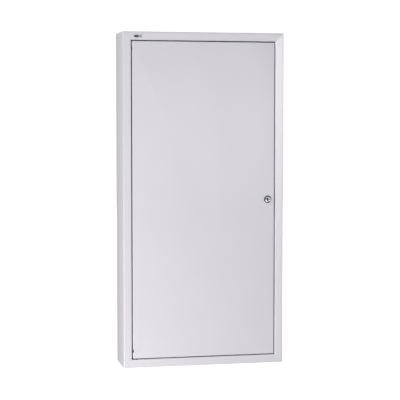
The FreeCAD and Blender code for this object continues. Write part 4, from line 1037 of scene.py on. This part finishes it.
collar = [
    (26.5, 0, 0.5), (26.5, -2, 0), (34.0, -2, 0), (36.9, 2.0, 2), (36.9, 15.5, 0.6), (37.4, 17.0, 0.8),
    (37.4, 21.6, 0.8), (36.6, 22.5, 0.5), (30.2, 22.5, 0.4), (30.15, 2.5, 0.2), (26.5, 2.5, 0.2)
]
rear_collar = [(r if r != 30.15 and r != 30.2 else 28.4, z, s) for r, z, s in collar]
at_wall = spot(pipe.x, pipe.y + bend, elbow_z, TO_WALL)
at_pipe = on_pipe(elbow_z + bend)
casting = merged(
    bent_tube(33.5 * MM, 26.5 * MM),
    turned(rear_collar[2:], 5, at_wall),
    turned(collar[2:], 5, at_pipe),
)
add_piece("feed_elbow", melted(casting, 1.1 * MM, 4), ["inlet_elbow"], sharp=50)

low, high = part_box("riser_pipe")
long = (high.z - low.z) / MM
drawn = [
    (26.5, 0, 0.4), (29.3, 0, 0.3), (30.15, 18, 0.3), (30.15, long - 18, 0.3), (29.3, long, 0.3),
    (26.5, long, 0.4)
]
add_piece("riser_tube", turned(drawn, 3, on_pipe(low.z), 96), ["riser_pipe"])

# %% [markdown]
# ## The hose valve
# An angle valve: water comes up through the seat and leaves by the branch. The body is sand cast, so its
# barrel, collar, bead and branch are melted together. The bonnet, gland nut and stem are turned from bar,
# with crisp hexagons for the wrench. The handwheel is cast iron with five spokes and a scalloped rim.

# %% The hose valve
low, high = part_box("valve_body")
valve_z = low.z + 58 * MM
outlet_z = valve_z + 5 * MM
at_valve = on_pipe(valve_z)
barrel = [
    (30.15, -58, 0.3), (36.6, -58, 0.6), (37.3, -56.8, 0.6), (37.3, -52, 0.8), (36.4, -50.5, 0.8),
    (36.2, -38, 4), (34.4, -32, 6), (38.0, -22, 8), (38.2, 26, 4), (36.2, 31, 2), (36.2, 39.8, 0.5),
    (29.0, 39.8, 0.3), (29.0, -18, 0.3), (22.0, -18, 0.3), (22.0, -24, 0.3), (26.5, -28, 0.3),
    (26.5, -38, 0.3), (30.15, -38, 0.3)
]
branch = [
    (20.0, 20, 0), (32.6, 20, 0), (32.6, 46, 1.5), (31.0, 47.5, 1), (31.0, 49.0, 1), (32.8, 50.5, 1),
    (32.8, 55.9, 0.5), (28.4, 55.9, 0.3), (28.4, 36, 0.2), (20.0, 36, 0.2)
]
branch_axis = on_pipe(outlet_z, TO_RIGHT)
shell = carved(turned(barrel, 5, at_valve, 96), plug(20.0 * MM, 0, 60 * MM, branch_axis))
arm = carved(turned(branch, 5, branch_axis, 96), plug(29.0 * MM, -18 * MM, 39 * MM, at_valve))
add_piece("valve_casting", melted(merged(shell, arm), 1.0 * MM, 4), ["valve_body"], sharp=50)

TRIM = (
    (
        "seat_ring", "valve_seat", "machined_brass",
        [
            (19, -24, 0.3), (22, -24, 0.2), (22, -18, 0), (26.5, -18, 0.2), (26.5, -14.8, 0.3),
            (22, -14, 0.2), (19, -14, 0.4)
        ]
    ),
    ("facing_pad", "disc_facing", None, [(0, -14, 0), (24, -14, 0.6), (24, -10, 0.4), (0, -10, 0)]),
    (
        "disc_holder", "valve_disc", "machined_brass",
        [
            (0, -10, 0), (25, -10, 0.6), (25, -4, 0.8), (14, -2, 0.8), (14, 5, 0.3), (9.16, 5, 0.2),
            (9.16, -1, 0.2), (0, -1, 0)
        ]
    ),
)
for name, node, finish, points in TRIM:
    add_piece(name, turned(points, 3, at_valve), [node], finish)
low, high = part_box("disc_nut")
add_piece(
    "stem_retainer", hex_nut(14 * MM, low.z, high.z, 7.08 * MM, on_pipe(0)), ["disc_nut"], "machined_brass"
)

stem = [
    (0, -0.9, 0), (9, -0.9, 0.4), (9, 4.9, 0.4), (7, 4.9, 0), (7, 96, 0.4), (5, 96, 0), (5, 118.6, 0.5),
    (4.2, 120, 0.4), (0, 120, 0)
]
add_piece("stem", turned(stem, 3, at_valve, 64), ["valve_stem"], "machined_brass")

bonnet = [
    (24, 28, 0.4), (29, 28, 0.6), (29, 40, 0), (30, 40, 0), (30, 49, 0), (19.5, 49, 1.2), (15.8, 51.5, 2.0),
    (15, 56, 1.5), (15, 65.5, 0.5), (10.6, 66, 0.2), (10.6, 56, 0.2), (7.08, 56, 0.2), (7.08, 43, 0.5),
    (24, 41, 1.0)
]
flats = hex_nut(33 * MM, 40 * MM, 49 * MM, 24 * MM, at_valve)
add_piece("bonnet", merged(turned(bonnet, 5, at_valve), flats), ["valve_bonnet"], "machined_brass")
packing = [(7.08, 56, 0.4), (10.6, 56, 0.4), (10.6, 64, 0.4), (7.08, 64, 0.4)]
add_piece("gland_packing", turned(packing, 3, at_valve), ["stem_packing"])
gland = [(7.08, 64, 0.1), (10.5, 64, 0.3), (10.5, 67, 0), (14.8, 67, 0.4), (14.8, 70, 0), (7.08, 70, 0.1)]
gland_flats = hex_nut(15 * MM, 70 * MM, 78 * MM, 7.08 * MM, at_valve)
add_piece("gland", merged(turned(gland, 3, at_valve), gland_flats), ["gland_nut"], "machined_brass")


def scalloped_rim(radius, section, lobes, steps=200, around=28):
    """A ring whose thickness swells and narrows, for grip."""
    rings = []
    for k in range(steps):
        a = 2 * math.pi * k / steps
        thick = section * (1 - 0.17 * (0.5 - 0.5 * math.cos(lobes * a)))
        out = Vector((math.cos(a), math.sin(a), 0))
        ring = []
        for i in range(around):
            b = 2 * math.pi * i / around
            ring.append(tuple(out * (radius + thick * math.cos(b)) + Vector((0, 0, thick * math.sin(b)))))
        rings.append(ring)
    return skin(rings, closed=True)


def spoke_group():
    """One spoke repeated round a circle."""
    group, given = node_group(
        "spokes_round_hub", Part=("Object", None), Count=("Int", 5), Start=("Float", 0.0)
    )
    share = put(group, "ShaderNodeMath", {0: 2 * math.pi, 1: given["Count"]}, operation="DIVIDE").outputs[0]
    values = {0: geo(group, "InputIndex"), 1: share, 2: given["Start"]}
    angle = put(group, "ShaderNodeMath", values, operation="MULTIPLY_ADD").outputs[0]
    turn = put(group, "ShaderNodeCombineXYZ", {"Z": angle}).outputs[0]
    points = geo(group, "Points", Count=given["Count"])
    part = geo(group, "ObjectInfo", "Geometry", Object=given["Part"])
    many = geo(group, "InstanceOnPoints", Points=points, Instance=part, Rotation=turn)
    return closed(group, many, "red_wheel_enamel")


wheel = middle("handwheel")
spoke = turned([(0, 6, 0), (4.6, 6, 0.5), (3.6, 24, 3), (4.4, 43, 0.5), (0, 43, 0)], 3, TO_RIGHT, 28)
spoke_object = linked("spoke", spoke)
spokes = grown(spoke_group(), {"Part": spoke_object, "Count": 5, "Start": math.radians(18)})
bpy.data.objects.remove(spoke_object)
hub = [(5, -7.6, 0.2), (13.0, -7.6, 1.5), (13.8, -4, 2), (13.8, 4, 2), (13.0, 7.6, 1.5), (5, 7.6, 0.2)]
rough_wheel = merged(scalloped_rim(44 * MM, 5.9 * MM, 20), spokes, turned(hub, 5, UP, 64))
cast_wheel = melted(rough_wheel, 0.8 * MM, 5)
cast_wheel.transform(spot(wheel.x, wheel.y, wheel.z))
add_piece("wheel", cast_wheel, ["handwheel"], sharp=60)
low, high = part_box("wheel_nut")
add_piece("wheel_top_nut", hex_nut(8.5 * MM, low.z, high.z, 5 * MM, on_pipe(0)), ["wheel_nut"])

# %% [markdown]
# ## The outlet
# A brass adapter turns the pipe thread into a coarse, round-crested hose thread, and a cap with two lugs
# closes it over a rubber gasket. The thread's surface is a sleeve of points whose radius rises and falls once
# for every turn, so it winds round the part as a cut thread does, and fades out at each end.

# %% The outlet
low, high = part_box("hose_adapter")
start = low.x
HOSE_PITCH = 4 * MM


def wound_thread(crest, depth, pitch, begin, end, bore, around=96, per_turn=10):
    """A sleeve with a helical ridge, begin to end along Z."""
    rows = int((end - begin) / pitch * per_turn)
    rings = [circle(bore, begin, around)]
    for k in range(rows + 1):
        z = begin + (end - begin) * k / rows
        fade = min(1.0, min(z - begin, end - z) / pitch + 0.15)
        ring = []
        for i in range(around):
            a = 2 * math.pi * i / around
            wave = 0.5 - 0.5 * math.cos(2 * math.pi * (z / pitch - i / around))
            r = crest - depth * (1 - fade * wave ** 0.7)
            ring.append((r * math.cos(a), r * math.sin(a), z))
        rings.append(ring)
    rings.append(circle(bore, end, around))
    return skin(rings, closed=True)


along = spot(start, pipe.y, outlet_z, TO_RIGHT)
shank = turned([(21, 0, 0.3), (28.3, 0, 0.6), (28.3, 20.2, 0), (21, 20.2, 0)], 5, along, 96)
flats = hex_nut(33 * MM, 20 * MM, 32 * MM, 21 * MM, along)
ridge = wound_thread(30 * MM, 1.7 * MM, HOSE_PITCH, 31.8 * MM, 56 * MM, 21 * MM)
ridge.transform(along)
add_piece("adapter", merged(shank, flats, ridge), ["hose_adapter"], "machined_brass", sharp=40)

low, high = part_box("outlet_cap")
cap_x = low.x - 1 * MM
cap_at = spot(cap_x, pipe.y, outlet_z, TO_RIGHT)
cup = [
    (30.3, 1, 0.3), (35.4, 1, 0.6), (36.2, 2.4, 0.8), (36.2, 6.5, 0.6), (35.2, 8, 0.8), (35.2, 20, 0.8),
    (36.2, 22, 0.8), (36.2, 29, 1.5), (33.5, 30.9, 1.0), (15.5, 30.9, 1.2), (13.9, 33, 1.2),
    (13.8, 37.5, 1.0), (12.6, 38.9, 0.6), (0, 38.9, 0), (0, 26, 0), (30.3, 26, 0.3)
]
cap_cup = turned(cup, 5, cap_at, 96)
lug_x = cap_x + 12 * MM
lug = [(0, 33.0, 0), (5.2, 33.0, 0.5), (4.3, 37.5, 2), (4.2, 44.4, 1.5), (2.8, 45.2, 0.6), (0, 45.2, 0)]
lugs = [turned(lug, 4, spot(lug_x, pipe.y, outlet_z, Matrix.Rotation(a, 4, "X")), 32) for a in (0, math.pi)]
add_piece("cap", melted(merged(cap_cup, *lugs), 0.9 * MM, 3), ["outlet_cap"], sharp=45)
gasket = [(0, 0, 0), (30, 0, 0.4), (30, 2, 0.4), (0, 2, 0)]
add_piece("cap_seal", turned(gasket, 3, spot(cap_x + 24 * MM, pipe.y, outlet_z, TO_RIGHT)), ["cap_gasket"])

# %% [markdown]
# ## The room
# The cabinet hangs in a white room. Its light is even from all round, which is what a white cove gives, and a
# few large soft lamps in front lift the lower left of the door. To the camera the walls and the floor are
# just over white, so nothing shows behind the cabinet; what the camera sees there doesn't add to the light on
# it. One small lamp is flagged off the rest, so that it only picks out the right-hand upright.

# %% Lamps and cove
CAMERA_AT = Vector((-0.818, FRONT - 3.781, 0.245))
WHITE = linear("#ffffff")
COVE_GLOW = 1.05
ROOM_LIGHT = 0.46
LAMPS = (
    ("near_left", (-1.3, -1.3, -0.5), (0.8, 0.8), 10.1),
    ("low_left", (-0.7, -1.2, -0.9), (0.8, 0.8), 6.5),
    ("high_left", (-2.2, -1.0, 1.2), (0.8, 0.8), 17),
    ("front_strip", (0.44, -3.11, 0.37), (0.3, 0.9), 3.1),
    ("right_strip", (1.1, -2.99, 0.37), (0.3, 0.9), 5.6),
)


def aimed(obj, centre, axis, towards=(0, 0, 0)):
    """Puts an object at centre with its own axis pointing at towards."""
    bpy.context.scene.collection.objects.link(obj)
    obj.location = centre
    obj.rotation_mode = "QUATERNION"
    obj.rotation_quaternion = (Vector(towards) - Vector(centre)).to_track_quat(axis, "Y")
    return obj


def lamp(name, centre, size, power, towards=(0, 0, 0)):
    data = bpy.data.lights.new(name, "AREA")
    data.shape = "RECTANGLE"
    data.size, data.size_y = size
    data.energy = power
    return aimed(bpy.data.objects.new(name, data), centre, "-Z", towards)


def cove_floor(height, reach):
    """A glowing white floor that the camera sees and that casts no light."""
    material, _, bsdf = shader("white_floor", Roughness=0.9)
    bsdf.inputs["Emission Color"].default_value = WHITE
    bsdf.inputs["Emission Strength"].default_value = COVE_GLOW
    obj = linked("pale_floor", block((-reach, -reach, height - 0.02), (reach, reach, height)))
    obj.data.materials.append(material)
    obj.visible_diffuse = obj.visible_glossy = obj.visible_transmission = obj.visible_shadow = False


def cove_walls(strength):
    world = bpy.data.worlds.new("white_room")
    bpy.context.scene.world = world
    world.use_nodes = True
    tree = world.node_tree
    seen = put(tree, "ShaderNodeLightPath").outputs["Is Camera Ray"]
    glow = between(tree, seen, strength, COVE_GLOW)
    background = tree.nodes["Background"]
    background.inputs["Color"].default_value = WHITE
    tree.links.new(glow, background.inputs["Strength"])


for row in LAMPS:
    lamp(*row)
edge_lamp = lamp("edge_lamp", (0.0, -0.8, 0.5), (0.3, 0.3), 1.4, (0.2325, FRONT, 0.4))
flagged = bpy.data.collections.new("lit_by_edge_lamp")
flagged.objects.link(bpy.data.objects["right_side"])
edge_lamp.light_linking.receiver_collection = flagged
FLOOR_Z, FLOOR_REACH = -1.4, 20
cove_floor(FLOOR_Z, FLOOR_REACH)
cove_walls(ROOM_LIGHT)
print("lamps:", [row[0] for row in LAMPS] + [edge_lamp.name], "room light:", ROOM_LIGHT)

# %% [markdown]
# ## The camera
# A long lens a few metres off, a little left of the cabinet and just above its middle, so that its left side
# shows and its uprights stay straight. The display curve is the plain one, so that thin dark lines keep their
# contrast.

# %% Camera
LENS_MM, YAW, PITCH = 116.37, 12.02, -3.62
camera_data = bpy.data.cameras.new("camera")
camera_data.sensor_width = 36
camera_data.lens = LENS_MM
camera_data.clip_start, camera_data.clip_end = 0.05, 60
camera = bpy.data.objects.new("camera", camera_data)
yaw, pitch = math.radians(YAW), math.radians(PITCH)
ahead = Vector((math.sin(yaw) * math.cos(pitch), math.cos(yaw) * math.cos(pitch), math.sin(pitch)))
aimed(camera, CAMERA_AT, "-Z", CAMERA_AT + ahead)
bpy.context.scene.camera = camera
bpy.context.scene.view_settings.view_transform = "Standard"
print("camera:", [round(v, 3) for v in CAMERA_AT], "lens:", LENS_MM, "mm")
